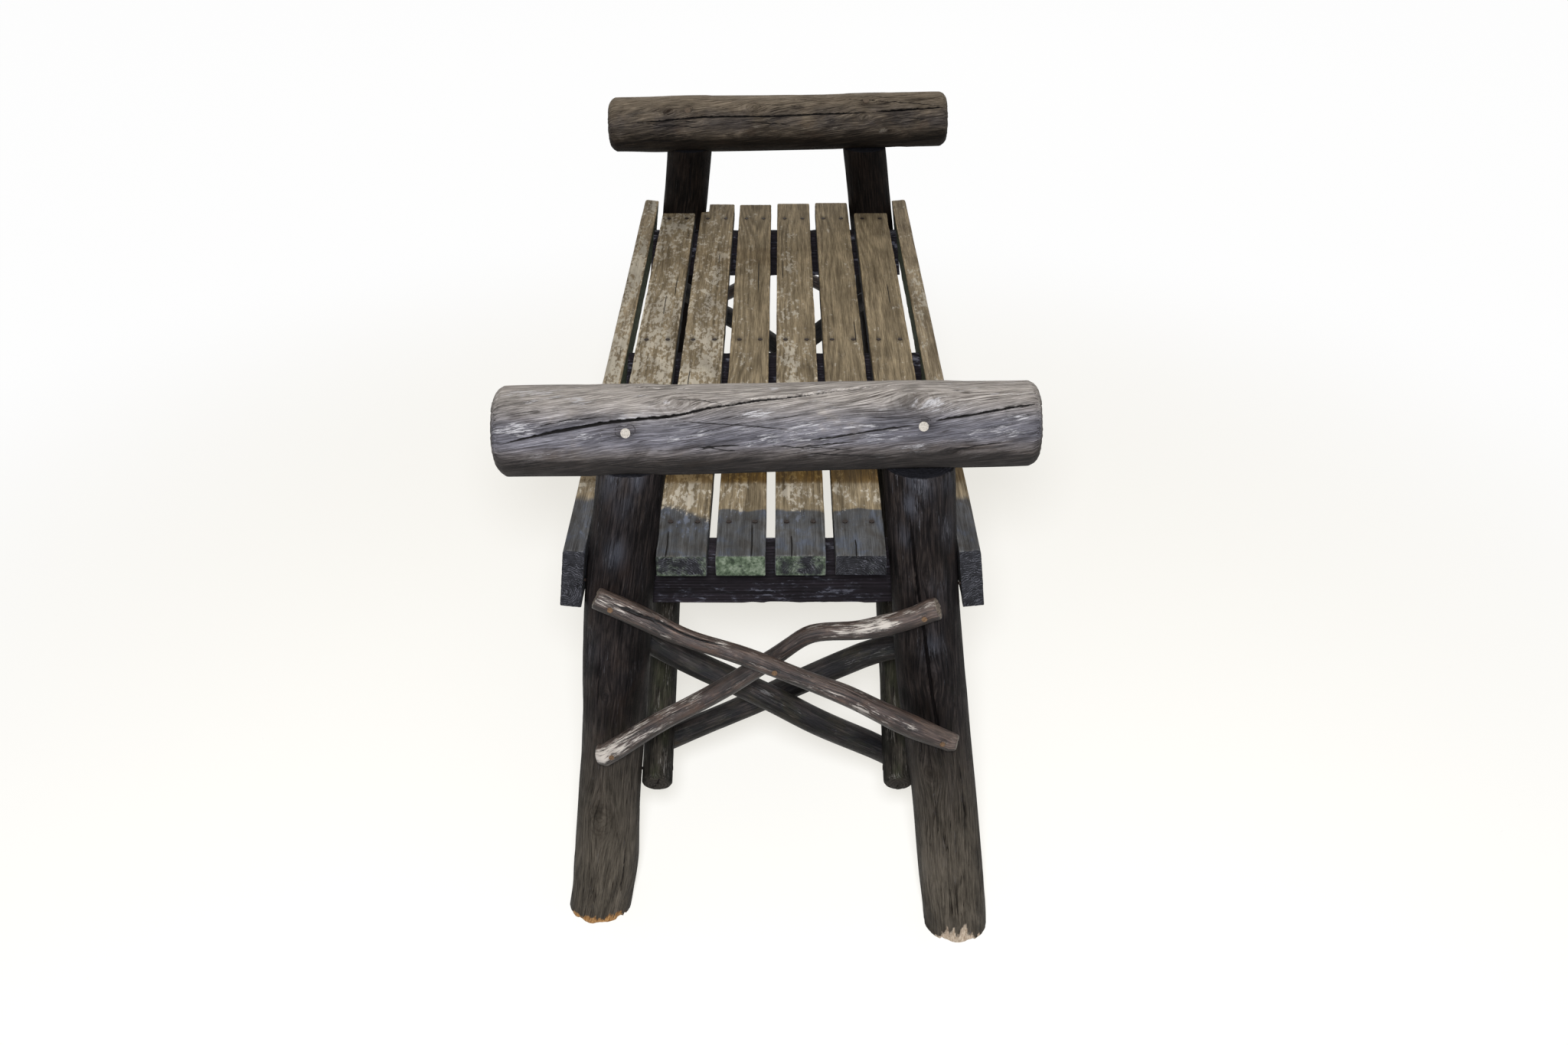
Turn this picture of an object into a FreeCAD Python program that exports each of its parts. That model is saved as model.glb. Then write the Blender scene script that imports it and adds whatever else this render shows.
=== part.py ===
import FreeCAD, Part
import math
import os

os.makedirs("parts", exist_ok=True)
Vec = FreeCAD.Vector

# A rustic bench of logs, branches and battens.
# X runs across the seat (positive to the right), Y along it (positive to the far end), Z up from the floor.

# Clearances
fit_gap = 0.3
touch_gap = 0.3

# Legs: round logs that splay sideways
leg_plane_spacing = 974.0
leg_foot_spread = 381.0
leg_top_spread = 256.5
leg_diameter = 68.0
leg_foot_bevel = 3.0

# Arm logs, one across each end, let down on the tops of the legs
hand_gap_height = 82.5
arm_length = 480.0
arm_diameter = 79.0
arm_tilt_degrees = 1.0
arm_side_shift = 4.0
arm_end_round = 8.0
arm_seat_depth = 5.0
tenon_diameter = 36.0
tenon_length = 40.0
tenon_end_gap = 1.0

# Wooden pegs that pin the arm logs to the leg tenons
peg_diameter = 8.5
peg_length = 54.0
peg_stand_out = 1.0

# Seat: slats on cross bearers between two side rails
seat_height = 461.0
slat_thickness = 21.0
slat_edge_bevel = 1.2
slat_widths = (47.0, 47.5, 45.7, 46.8, 47.0, 47.5)
slat_near_overhangs = (0.0, 20.5, 20.0, 19.5, 19.0, 0.0)
slat_far_overhangs = (0.0, 2.0, 0.5, 5.5, 9.0, 0.0)
slat_leg_gap = 4.5
slat_notch_gap = 2.5
rail_thickness = 20.0
rail_height = 61.0
rail_leg_gap = 1.8
rail_near_overhang = 12.5
rail_far_overhang = 18.0
rail_edge_bevel = 3.5
bearer_thickness = 17.0
bearer_height = 64.0
near_bearer_housing = 1.0
middle_bearer_shift = -8.0
far_bearer_leg_gap = 15.0

# Branches of the crosses
outer_stick_diameter = 20.0
outer_stick_overhang = 16.0
inner_stick_diameter = 27.0
inner_stick_top_overhang = 12.0
inner_stick_foot_overhang = 29.0

# Knee braces, from low on each leg up to the middle bearer
brace_diameter = 31.0
brace_foot_height_share = 0.373
brace_head_drop = 48.0
brace_foot_inset = 3.0
brace_foot_round = 7.0

# Round wire nails
nail_diameter = 3.0
nail_head_diameter = 5.2
nail_head_thickness = 1.3
nail_gap = 0.15
nail_stand_out = 0.2
slat_nail_length = 50.0
slat_nail_spread_share = 0.27
slat_nail_set_back = 3.0
rail_nail_length = 40.0
rail_nail_depths = (30.0, 50.0)
rail_leg_nail_depth = 40.0
outer_nail_length = 44.0
inner_nail_length = 52.0
foot_nail_length = 42.0
crossing_nail_length = 34.0
inner_crossing_nail_length = 46.0
brace_foot_nail_length = 50.0
brace_foot_nail_rise = 9.0
brace_head_nail_length = 48.0
brace_head_nail_embed = 13.0
brace_head_nail_side = 4.0

# Worked out sizes
leg_radius = leg_diameter / 2
arm_radius = arm_diameter / 2
plane = leg_plane_spacing / 2
cut_over = leg_diameter + arm_diameter
arm_axis_height = seat_height + hand_gap_height + arm_radius
arm_slope = math.tan(math.radians(arm_tilt_degrees))
leg_top_height = arm_axis_height - arm_radius + arm_seat_depth
leg_slope = (leg_foot_spread - leg_top_spread) / 2 / leg_top_height
splay = math.atan(leg_slope)
slat_bottom = seat_height - slat_thickness
brace_foot_height = seat_height * brace_foot_height_share
brace_head_height = slat_bottom - brace_head_drop

NEAR, FAR = -1, 1
LEFT, RIGHT = -1, 1
END_NAMES = {NEAR: "near", FAR: "far"}
SIDE_NAMES = {LEFT: "left", RIGHT: "right"}

# How each leg wanders from its straight line: height share, then the offset along X, the offset
# along Y and the thickness as shares of the leg diameter
leg_shares = {
    (NEAR, LEFT): (
        (0.0, 0.04, 0.235, 0.965),
        (0.09, 0.08, 0.21, 1.0),
        (0.17, 0.085, 0.19, 0.995),
        (0.32, 0.062, 0.16, 0.94),
        (0.46, 0.045, 0.12, 0.94),
        (0.60, 0.015, 0.09, 0.955),
        (0.73, -0.007, 0.06, 0.958),
        (0.86, 0.015, 0.03, 0.935),
        (1.0, 0.04, 0.0, 0.91),
    ),
    (NEAR, RIGHT): (
        (0.0, 0.05, -0.176, 1.0),
        (0.09, 0.05, -0.16, 0.995),
        (0.17, 0.042, -0.15, 0.985),
        (0.32, 0.037, -0.12, 0.96),
        (0.46, 0.007, -0.10, 0.97),
        (0.60, -0.012, -0.07, 0.985),
        (0.73, 0.0, -0.05, 0.94),
        (0.86, 0.022, -0.02, 0.94),
        (1.0, 0.045, 0.0, 0.975),
    ),
    (FAR, LEFT): (
        (0.0, 0.03, 0.0, 0.97),
        (0.15, 0.045, 0.02, 1.0),
        (0.35, 0.06, 0.03, 0.965),
        (0.55, 0.075, 0.02, 0.955),
        (0.78, 0.085, 0.01, 0.95),
        (1.0, 0.08, 0.0, 0.95),
    ),
    (FAR, RIGHT): (
        (0.0, -0.02, 0.09, 0.99),
        (0.15, -0.01, 0.08, 0.99),
        (0.35, 0.01, 0.05, 0.97),
        (0.55, 0.015, 0.03, 0.95),
        (0.78, 0.01, 0.01, 0.92),
        (1.0, 0.0, 0.0, 0.91),
    ),
}

# Thickness of each arm log: length share, sag and thickness as shares of the arm diameter
arm_shares = {
    NEAR: (
        (0.0, 0.0, 1.02),
        (0.12, 0.0, 1.03),
        (0.32, 0.01, 1.02),
        (0.55, 0.0, 1.0),
        (0.78, 0.0, 0.98),
        (1.0, 0.0, 0.955),
    ),
    FAR: (
        (0.0, 0.0, 0.96),
        (0.15, 0.0, 0.985),
        (0.4, 0.01, 0.98),
        (0.65, 0.01, 0.97),
        (0.85, 0.0, 0.975),
        (1.0, 0.0, 0.965),
    ),
}

# Widths of the gaps from the left rail over the slats to the right rail, as shares of all the gaps together
slat_gap_shares = (0.146, 0.135, 0.132, 0.143, 0.138, 0.135, 0.171)

# Heights of the outer cross branches where they meet the left and the right leg, as shares of the seat height
outer_falling_shares = {NEAR: (0.9165, 0.5933), FAR: (0.8937, 0.5597)}
outer_rising_shares = {NEAR: (0.5423, 0.9002), FAR: (0.5683, 0.8764)}
# The same for the inner cross branches at the leg that carries their head, and of the brace over their foot
inner_falling_shares = {NEAR: (0.7289, 0.4241), FAR: (0.7636, 0.4577)}
inner_rising_shares = {NEAR: (0.7093, 0.4382), FAR: (0.7505, 0.4686)}

# Shape of the branches between their two bearings: length share, rise and thickness as shares of the diameter
straight_branch_shares = (
    (0.0, 0.0, 1.05),
    (0.08, 0.02, 1.06),
    (0.18, -0.06, 0.93),
    (0.30, 0.15, 0.85),
    (0.42, 0.38, 0.9),
    (0.53, 0.43, 0.87),
    (0.66, 0.46, 0.95),
    (0.78, 0.30, 1.02),
    (0.88, 0.10, 1.12),
    (1.0, 0.0, 0.98),
)
kinked_branch_shares = (
    (0.0, 0.0, 1.08),
    (0.07, 0.15, 1.03),
    (0.17, 0.35, 0.97),
    (0.28, 0.42, 0.97),
    (0.39, 0.60, 0.99),
    (0.47, 0.82, 0.95),
    (0.54, 1.05, 0.9),
    (0.60, 1.33, 0.87),
    (0.645, 1.42, 0.87),
    (0.69, 1.24, 0.87),
    (0.74, 0.90, 0.88),
    (0.80, 0.52, 0.94),
    (0.88, 0.20, 1.03),
    (1.0, 0.0, 1.04),
)
thick_branch_shares = (
    (0.0, 0.0, 0.98),
    (0.12, 0.0, 1.0),
    (0.28, 0.08, 1.0),
    (0.45, 0.24, 0.99),
    (0.58, 0.25, 1.0),
    (0.72, 0.12, 1.01),
    (0.88, 0.06, 1.0),
    (1.0, 0.0, 1.0),
)
bent_branch_shares = (
    (0.0, 0.0, 0.88),
    (0.10, 0.16, 0.92),
    (0.20, 0.33, 0.98),
    (0.32, 0.26, 1.0),
    (0.50, 0.05, 0.99),
    (0.68, -0.06, 0.95),
    (0.86, -0.06, 0.93),
    (1.0, 0.0, 0.95),
)
# Thickness of a knee brace from foot to head: length share and thickness as a share of its diameter
brace_shares = ((0.0, 1.0), (0.35, 1.0), (0.7, 0.97), (1.0, 0.95))

# Elevation of the pegs on the near sides of the arm logs, left then right, in degrees above level
peg_elevations = {NEAR: (22.0, 24.0), FAR: (43.0, 60.0)}


def between(rows, share, column):
    """Value of a table column at a share between its rows."""
    for low, high in zip(rows, rows[1:]):
        if share <= high[0]:
            part = (share - low[0]) / (high[0] - low[0])
            return low[column] + part * (high[column] - low[column])
    return rows[-1][column]


def leg_point(end, side, height):
    """Axis point of a leg at a height."""
    share = height / leg_top_height
    rows = leg_shares[end, side]
    x = side * (leg_top_spread / 2 + (leg_top_height - height) * leg_slope)
    x += between(rows, share, 1) * leg_diameter
    y = end * plane + between(rows, share, 2) * leg_diameter
    return Vec(x, y, height)


def leg_reach(end, side, height):
    """Radius of a leg at a height."""
    return between(leg_shares[end, side], height / leg_top_height, 3) * leg_radius


def smooth_tube(points, radii, normal=None):
    """Solid through circles on the given points, square to the path unless one normal is given for all."""
    chord = points[-1] - points[0]
    start_turn = FreeCAD.Rotation(Vec(0, 0, 1), normal or chord)
    wires = []
    for index, point in enumerate(points):
        circle = Part.makeCircle(radii[index])
        turn = start_turn
        if normal is None:
            before = points[max(index - 1, 0)]
            after = points[min(index + 1, len(points) - 1)]
            turn = FreeCAD.Rotation(chord, after - before).multiply(start_turn)
        circle.Placement = FreeCAD.Placement(point, turn)
        wires.append(Part.Wire([circle]))
    return Part.makeLoft(wires, True, False)


def end_edges(solid, points):
    """Edges of the flat ends of a tube that starts and stops at the given points."""
    found = []
    for face in solid.Faces:
        if isinstance(face.Surface, Part.Plane):
            near_end = min((face.CenterOfMass - point).Length for point in points)
            if near_end < fit_gap:
                found.extend(face.Edges)
    return found


def box_between(low, high):
    """Box from its low corner to its high corner."""
    size = high - low
    return Part.makeBox(size.x, size.y, size.z, low)


def nail_solid(start, direction, length):
    """Nail with a flat round head; start is the middle of the head's outer face."""
    head = Part.makeCylinder(nail_head_diameter / 2, nail_head_thickness, start, direction)
    shank = Part.makeCylinder(nail_diameter / 2, length, start, direction)
    return head.fuse(shank).removeSplitter()


def nail_hole(start, direction, length):
    """Hole that a nail sits in, open outwards."""
    head_radius = nail_head_diameter / 2 + nail_gap
    pocket_start = start - direction * nail_head_diameter
    pocket_length = nail_head_diameter + nail_head_thickness + nail_gap
    pocket = Part.makeCylinder(head_radius, pocket_length, pocket_start, direction)
    shank = Part.makeCylinder(nail_diameter / 2 + nail_gap, length + nail_gap, start, direction)
    return pocket.fuse(shank)


pieces = {}
fixings = {}


def drive_nail(group, names, start, direction, length):
    """Put a nail into a group and bore its hole through the named pieces."""
    unit = Vec(direction).normalize()
    fixings.setdefault(group, []).append(nail_solid(start, unit, length))
    hole = nail_hole(start, unit, length)
    for name in names:
        pieces[name] = pieces[name].cut(hole)


# Arm logs
def arm_middle(end):
    return end * arm_side_shift


def arm_axis(end, x):
    return Vec(x, end * plane, arm_axis_height + x * arm_slope)


def make_arm(end):
    start = arm_middle(end) - arm_length / 2
    points = []
    radii = []
    for share, sag, thickness in arm_shares[end]:
        point = arm_axis(end, start + share * arm_length)
        points.append(point - Vec(0, 0, sag * arm_diameter))
        radii.append(thickness * arm_radius)
    along = Vec(1, 0, arm_slope)
    tube = smooth_tube(points, radii, along)
    return tube.makeFillet(arm_end_round, end_edges(tube, (points[0], points[-1])))


def leg_direction(side):
    return Vec(-side * leg_slope, 0, 1).normalize()


def seat_block(end, side):
    """Block that fills the space above the joint plane between a leg and its arm log."""
    top = leg_point(end, side, leg_top_height)
    block = box_between(Vec(-cut_over, -cut_over, 0), Vec(cut_over, cut_over, 2 * cut_over))
    block.rotate(Vec(0, 0, 0), Vec(0, 1, 0), -arm_tilt_degrees)
    block.translate(Vec(top.x, top.y, leg_top_height + top.x * arm_slope))
    return block


def make_leg(end, side):
    points = []
    radii = []
    for share, _, _, thickness in leg_shares[end, side]:
        points.append(leg_point(end, side, share * leg_top_height))
        radii.append(thickness * leg_radius)
    points.append(points[-1] + leg_direction(side) * (2 * arm_seat_depth))
    radii.append(radii[-1])
    tube = smooth_tube(points, radii, Vec(0, 0, 1))
    foot = end_edges(tube, (points[0],))
    leg = tube.makeChamfer(leg_foot_bevel, foot).cut(seat_block(end, side))
    top = leg_point(end, side, leg_top_height)
    along = leg_direction(side)
    tenon = Part.makeCylinder(tenon_diameter / 2, tenon_length + arm_seat_depth, top - along * arm_seat_depth, along)
    return leg.fuse(tenon)


def leg_socket(end, side):
    """Shallow round seat in the arm log for the leg top, and the deeper hole for its tenon."""
    top = leg_point(end, side, leg_top_height)
    along = leg_direction(side)
    radius = leg_reach(end, side, leg_top_height) + fit_gap
    seat = Part.makeCylinder(radius, 2 * cut_over, top - along * cut_over, along)
    seat = seat.cut(seat_block(end, side))
    hole_length = tenon_length + tenon_end_gap
    hole = Part.makeCylinder(tenon_diameter / 2 + fit_gap, hole_length, top, along)
    start = Part.makeCylinder(tenon_diameter / 2 + fit_gap, arm_seat_depth, top - along * arm_seat_depth, along)
    return seat.fuse(hole.fuse(start))


for end in (NEAR, FAR):
    arm = make_arm(end)
    for side in (LEFT, RIGHT):
        pieces["leg_" + END_NAMES[end] + "_" + SIDE_NAMES[side]] = make_leg(end, side)
        arm = arm.cut(leg_socket(end, side))
    pieces["arm_log_" + END_NAMES[end]] = arm

# Pegs through the arm logs into the leg tenons
for end in (NEAR, FAR):
    pegs = []
    arm_name = "arm_log_" + END_NAMES[end]
    for side, elevation in zip((LEFT, RIGHT), peg_elevations[end]):
        angle = math.radians(elevation)
        outward = Vec(0, -math.cos(angle), math.sin(angle))
        x = leg_point(end, side, leg_top_height).x
        share = (x - arm_middle(end)) / arm_length + 0.5
        surface = between(arm_shares[end], share, 2) * arm_radius
        start = arm_axis(end, x) + outward * (surface + peg_stand_out)
        pegs.append(Part.makeCylinder(peg_diameter / 2, peg_length, start, -outward))
        hole_radius = peg_diameter / 2 + fit_gap
        hole_start = start + outward * peg_diameter
        hole = Part.makeCylinder(hole_radius, peg_length + peg_diameter + fit_gap, hole_start, -outward)
        leg_name = "leg_" + END_NAMES[end] + "_" + SIDE_NAMES[side]
        pieces[arm_name] = pieces[arm_name].cut(hole)
        pieces[leg_name] = pieces[leg_name].cut(hole)
    fixings["arm_pegs_" + END_NAMES[end]] = pegs

# Side rails lean with the legs
seat_leg_x = leg_top_spread / 2 + (leg_top_height - seat_height) * leg_slope
seat_leg_radius = leg_radius * between(leg_shares[NEAR, RIGHT], seat_height / leg_top_height, 3)
rail_inner = seat_leg_x + seat_leg_radius / math.cos(splay) + rail_leg_gap


def rail_inner_at(height):
    return rail_inner + (seat_height - height) * leg_slope


def make_rail(side):
    across = Vec(side * math.cos(splay), 0, math.sin(splay))
    down = Vec(side * math.sin(splay), 0, -math.cos(splay))
    corner = Vec(side * rail_inner, -plane - rail_near_overhang, seat_height)
    outline = [
        corner,
        corner + across * (rail_thickness - rail_edge_bevel),
        corner + across * rail_thickness + down * rail_edge_bevel,
        corner + across * rail_thickness + down * rail_height,
        corner + down * rail_height,
        corner,
    ]
    face = Part.Face(Part.makePolygon(outline))
    return face.extrude(Vec(0, leg_plane_spacing + rail_near_overhang + rail_far_overhang, 0))


for side in (LEFT, RIGHT):
    pieces["side_rail_" + SIDE_NAMES[side]] = make_rail(side)

# Cross bearers: the near one is let a little into the legs, the far one stands clear of them
bearer_backs = {
    "near": -plane + leg_radius - near_bearer_housing,
    "middle": middle_bearer_shift - bearer_thickness / 2,
    "far": plane - leg_radius - far_bearer_leg_gap + near_bearer_housing - bearer_thickness,
}


def make_bearer(back):
    top = rail_inner_at(slat_bottom)
    bottom = rail_inner_at(slat_bottom - bearer_height)
    outline = [
        Vec(-top, back, slat_bottom),
        Vec(top, back, slat_bottom),
        Vec(bottom, back, slat_bottom - bearer_height),
        Vec(-bottom, back, slat_bottom - bearer_height),
        Vec(-top, back, slat_bottom),
    ]
    return Part.Face(Part.makePolygon(outline)).extrude(Vec(0, bearer_thickness, 0))


for name, back in bearer_backs.items():
    pieces["bearer_" + name] = make_bearer(back)

# The near legs are cut flat where the near bearer crosses them
for side in (LEFT, RIGHT):
    name = "leg_near_" + SIDE_NAMES[side]
    middle = leg_point(NEAR, side, slat_bottom).x
    low = Vec(middle - cut_over, bearer_backs["near"], slat_bottom - bearer_height)
    high = Vec(middle + cut_over, bearer_backs["near"] + cut_over, slat_bottom)
    pieces[name] = pieces[name].cut(box_between(low, high))


# Slats fill the width between the rails
slat_count = len(slat_widths)
free_width = 2 * rail_inner - sum(slat_widths)
slat_lefts = []
for index in range(slat_count):
    slat_lefts.append(-rail_inner + free_width * sum(slat_gap_shares[:index + 1]) + sum(slat_widths[:index]))


def make_slat(index):
    left = slat_lefts[index]
    right = left + slat_widths[index]
    inner_stop = plane - leg_radius + near_bearer_housing - slat_leg_gap
    short = index in (0, slat_count - 1)
    near = -inner_stop if short else -plane - slat_near_overhangs[index]
    far = inner_stop if short else plane + slat_far_overhangs[index]
    slat = box_between(Vec(left, near, slat_bottom), Vec(right, far, seat_height))
    edges = [edge for edge in slat.Edges if min(v.Z for v in edge.Vertexes) == seat_height]
    return slat.makeChamfer(slat_edge_bevel, edges)


def notch_slat(slat, end, side):
    """Cut a slat's corner back so that it passes the leg beside it."""
    height = (seat_height + slat_bottom) / 2
    leg = leg_point(end, side, height)
    reach = leg_reach(end, side, height) + slat_notch_gap
    inner = leg.x - side * reach
    outer = leg.x + side * cut_over
    start = end * (abs(leg.y) - reach)
    stop = end * (plane + cut_over)
    low = Vec(min(inner, outer), min(start, stop), slat_bottom - cut_over)
    high = Vec(max(inner, outer), max(start, stop), seat_height + cut_over)
    return slat.cut(box_between(low, high))


for index in range(slat_count):
    slat = make_slat(index)
    side = LEFT if slat_lefts[index] < 0 else RIGHT
    if index not in (0, slat_count - 1):
        slat = notch_slat(notch_slat(slat, NEAR, side), FAR, side)
    pieces["seat_slat_" + str(index + 1)] = slat

# Knee braces
brace_radius = brace_diameter / 2
middle_faces = {
    NEAR: bearer_backs["middle"],
    FAR: bearer_backs["middle"] + bearer_thickness,
}


def brace_foot_y(end):
    return end * (plane - brace_foot_inset)


def brace_rise(end):
    """Height gained for each unit of length along the bench."""
    return (brace_head_height - brace_foot_height) / abs(middle_faces[end] - brace_foot_y(end))


def brace_y_at(end, height):
    return brace_foot_y(end) - end * (height - brace_foot_height) / brace_rise(end)


brace_middles = {}
for end in (NEAR, FAR):
    for side in (LEFT, RIGHT):
        leg = pieces["leg_" + END_NAMES[end] + "_" + SIDE_NAMES[side]]
        x = leg_point(end, side, brace_foot_height).x - side * (leg_diameter + brace_diameter) / 2
        foot = Vec(x, brace_foot_y(end), brace_foot_height)
        head = Vec(x, middle_faces[end], brace_head_height)
        along = (head - foot).normalize()
        top = head + along * brace_radius
        points = [foot + (top - foot) * share for share, _ in brace_shares]
        radii = [brace_radius * thickness for _, thickness in brace_shares]
        pole = smooth_tube(points, radii, along)
        pole = pole.makeFillet(brace_foot_round, end_edges(pole, (foot,)))
        # Slid sideways until it touches the leg
        for _ in range(3):
            slide = side * (pole.distToShape(leg)[0] - touch_gap)
            pole.translate(Vec(slide, 0, 0))
            x += slide
        brace_middles[end, side] = x
        stop = middle_faces[end]
        low = Vec(x - cut_over, min(stop, stop - end * cut_over), brace_head_height - cut_over)
        high = Vec(x + cut_over, max(stop, stop - end * cut_over), brace_head_height + cut_over)
        pieces["knee_brace_" + END_NAMES[end] + "_" + SIDE_NAMES[side]] = pole.cut(box_between(low, high))


# Crosses of branches
def branch_line(first, last, shares, diameter, bow):
    """Middle points and radii of a branch between its two bearings, bowed along Y."""
    points = []
    radii = []
    for share, rise, thickness in shares:
        lift = Vec(0, bow * math.sin(math.pi * share), rise * diameter)
        points.append(first + (last - first) * share + lift)
        radii.append(thickness * diameter / 2)
    return points, radii


def branch_solid(line, first_overhang, last_overhang):
    """Branch along its line, with straight free ends past both bearings."""
    points, radii = line
    backward = (points[0] - points[1]).normalize()
    forward = (points[-1] - points[-2]).normalize()
    path = [points[0] + backward * first_overhang] + points + [points[-1] + forward * last_overhang]
    return smooth_tube(path, [radii[0]] + radii + [radii[-1]])


def line_at(line, x):
    """Middle point and radius of a branch at a place across the bench."""
    rows = sorted(zip([point.x for point in line[0]], line[0], line[1]), key=lambda row: row[0])
    for low, high in zip(rows, rows[1:]):
        if low[0] <= x <= high[0]:
            part = (x - low[0]) / (high[0] - low[0])
            return low[1] + (high[1] - low[1]) * part, low[2] + (high[2] - low[2]) * part
    return rows[-1][1], rows[-1][2]


def crossing_x(falling, rising):
    """Place across the bench where two branches of a cross are equally high."""
    low = -leg_top_spread / 2
    high = leg_top_spread / 2
    for _ in range(40):
        middle = (low + high) / 2
        if line_at(falling, middle)[0].z > line_at(rising, middle)[0].z:
            low = middle
        else:
            high = middle
    return middle


def clear_point(middle, along, lean, apart, toward):
    """Point where a branch leaning one way clears a log of another direction by a distance between middles."""
    square = along.cross(lean).normalize()
    return middle + square * math.copysign(apart, square.dot(toward))


def leg_host(end, side, height, branch_radius, face):
    """Leg as the host of a branch on its outer face (1) or inner face (-1)."""
    along = leg_point(end, side, height + leg_diameter) - leg_point(end, side, height - leg_diameter)
    apart = leg_reach(end, side, height) + branch_radius + touch_gap
    return leg_point(end, side, height), along, apart, Vec(0, face * end, 0)


def brace_host(end, side, height, branch_radius):
    """Knee brace as the host of a branch under it."""
    middle = Vec(brace_middles[end, side], brace_y_at(end, height), height)
    return middle, Vec(0, -end, brace_rise(end)), brace_radius + branch_radius + touch_gap, Vec(0, 0, -1)


def fit_branch(hosts, shares, diameter, bow):
    """Line of a branch that touches both its hosts."""
    line = branch_line(hosts[0][0], hosts[1][0], shares, diameter, bow)
    for _ in range(6):
        points = line[0]
        first = clear_point(hosts[0][0], hosts[0][1], points[1] - points[0], *hosts[0][2:])
        last = clear_point(hosts[1][0], hosts[1][1], points[-1] - points[-2], *hosts[1][2:])
        line = branch_line(first, last, shares, diameter, bow)
    return line


def fit_cross(end, falling, rising, diameter):
    """Lines of two crossed branches, bowed apart just enough to touch where they cross."""
    bow = diameter / 4
    for _ in range(6):
        lines = [fit_branch(*falling, diameter, end * bow), fit_branch(*rising, diameter, -end * bow)]
        x = crossing_x(*lines)
        upper, upper_radius = line_at(lines[0], x)
        lower, lower_radius = line_at(lines[1], x)
        chords = [line[0][-1] - line[0][0] for line in lines]
        square = chords[0].cross(chords[1]).normalize()
        apart = (upper_radius + lower_radius + touch_gap) / abs(square.y)
        bow += (apart - abs(upper.y - lower.y)) / 2
    return lines, upper, lower


def radii_at_ends(shares, diameter):
    return shares[0][2] * diameter / 2, shares[-1][2] * diameter / 2


for end in (NEAR, FAR):
    tag = END_NAMES[end]
    legs = {side: "leg_" + tag + "_" + SIDE_NAMES[side] for side in (LEFT, RIGHT)}

    # Outer cross, on the outer faces of the legs
    group = "outer_cross_nails_" + tag
    inward = Vec(0, -end, 0)
    specs = []
    for heights, shares in (
        (outer_falling_shares[end], straight_branch_shares),
        (outer_rising_shares[end], kinked_branch_shares),
    ):
        first_radius, last_radius = radii_at_ends(shares, outer_stick_diameter)
        hosts = (
            leg_host(end, LEFT, heights[0] * seat_height, first_radius, 1),
            leg_host(end, RIGHT, heights[1] * seat_height, last_radius, 1),
        )
        specs.append((hosts, shares))
    lines, upper, lower = fit_cross(end, specs[0], specs[1], outer_stick_diameter)
    names = ("outer_branch_falling_" + tag, "outer_branch_rising_" + tag)
    for name, line in zip(names, lines):
        pieces[name] = branch_solid(line, outer_stick_overhang, outer_stick_overhang)
        for side, row in ((LEFT, 0), (RIGHT, -1)):
            start = line[0][row] - inward * (line[1][row] + nail_stand_out)
            drive_nail(group, (name, legs[side]), start, inward, outer_nail_length)
    radius = line_at(lines[0], upper.x)[1]
    drive_nail(group, names, upper - inward * (radius + nail_stand_out), inward, crossing_nail_length)

    # Inner cross, on the inner faces of the legs with its feet under the knee braces
    group = "inner_cross_nails_" + tag
    outward = Vec(0, end, 0)
    specs = []
    for heights, shares, side in (
        (inner_falling_shares[end], thick_branch_shares, LEFT),
        (inner_rising_shares[end], bent_branch_shares, RIGHT),
    ):
        head_radius, foot_radius = radii_at_ends(shares, inner_stick_diameter)
        hosts = (
            leg_host(end, side, heights[0] * seat_height, head_radius, -1),
            brace_host(end, -side, heights[1] * seat_height, foot_radius),
        )
        specs.append((hosts, shares))
    lines, upper, lower = fit_cross(end, specs[0], specs[1], inner_stick_diameter)
    names = ("inner_branch_falling_" + tag, "inner_branch_rising_" + tag)
    for name, line, (hosts, _), side in zip(names, lines, specs, (LEFT, RIGHT)):
        pieces[name] = branch_solid(line, inner_stick_top_overhang, inner_stick_foot_overhang)
        start = line[0][0] - outward * (line[1][0] + nail_stand_out)
        drive_nail(group, (name, legs[side]), start, outward, inner_nail_length)
        upward = (hosts[1][0] - line[0][-1]).normalize()
        start = line[0][-1] - upward * (line[1][-1] + nail_stand_out)
        brace_name = "knee_brace_" + tag + "_" + SIDE_NAMES[-side]
        drive_nail(group, (name, brace_name), start, upward, foot_nail_length)
    radius = line_at(lines[1], lower.x)[1]
    start = lower - outward * (radius + nail_stand_out)
    drive_nail(group, names, start, outward, inner_crossing_nail_length)

    # Knee braces: one nail into the leg and one into the middle bearer
    for side in (LEFT, RIGHT):
        name = "knee_brace_" + tag + "_" + SIDE_NAMES[side]
        toward_leg = Vec(side, 0, 0)
        height = brace_foot_height + brace_foot_nail_rise
        middle = Vec(brace_middles[end, side], brace_y_at(end, height), height)
        start = middle - toward_leg * (brace_radius + nail_stand_out)
        drive_nail("knee_brace_nails", (name, legs[side]), start, toward_leg, brace_foot_nail_length)
        nail_x = brace_middles[end, side] - end * brace_head_nail_side
        nail_start = middle_faces[end] + end * (brace_head_nail_length - brace_head_nail_embed)
        start = Vec(nail_x, nail_start, brace_head_height)
        drive_nail("knee_brace_nails", (name, "bearer_middle"), start, -outward, brace_head_nail_length)

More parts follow.
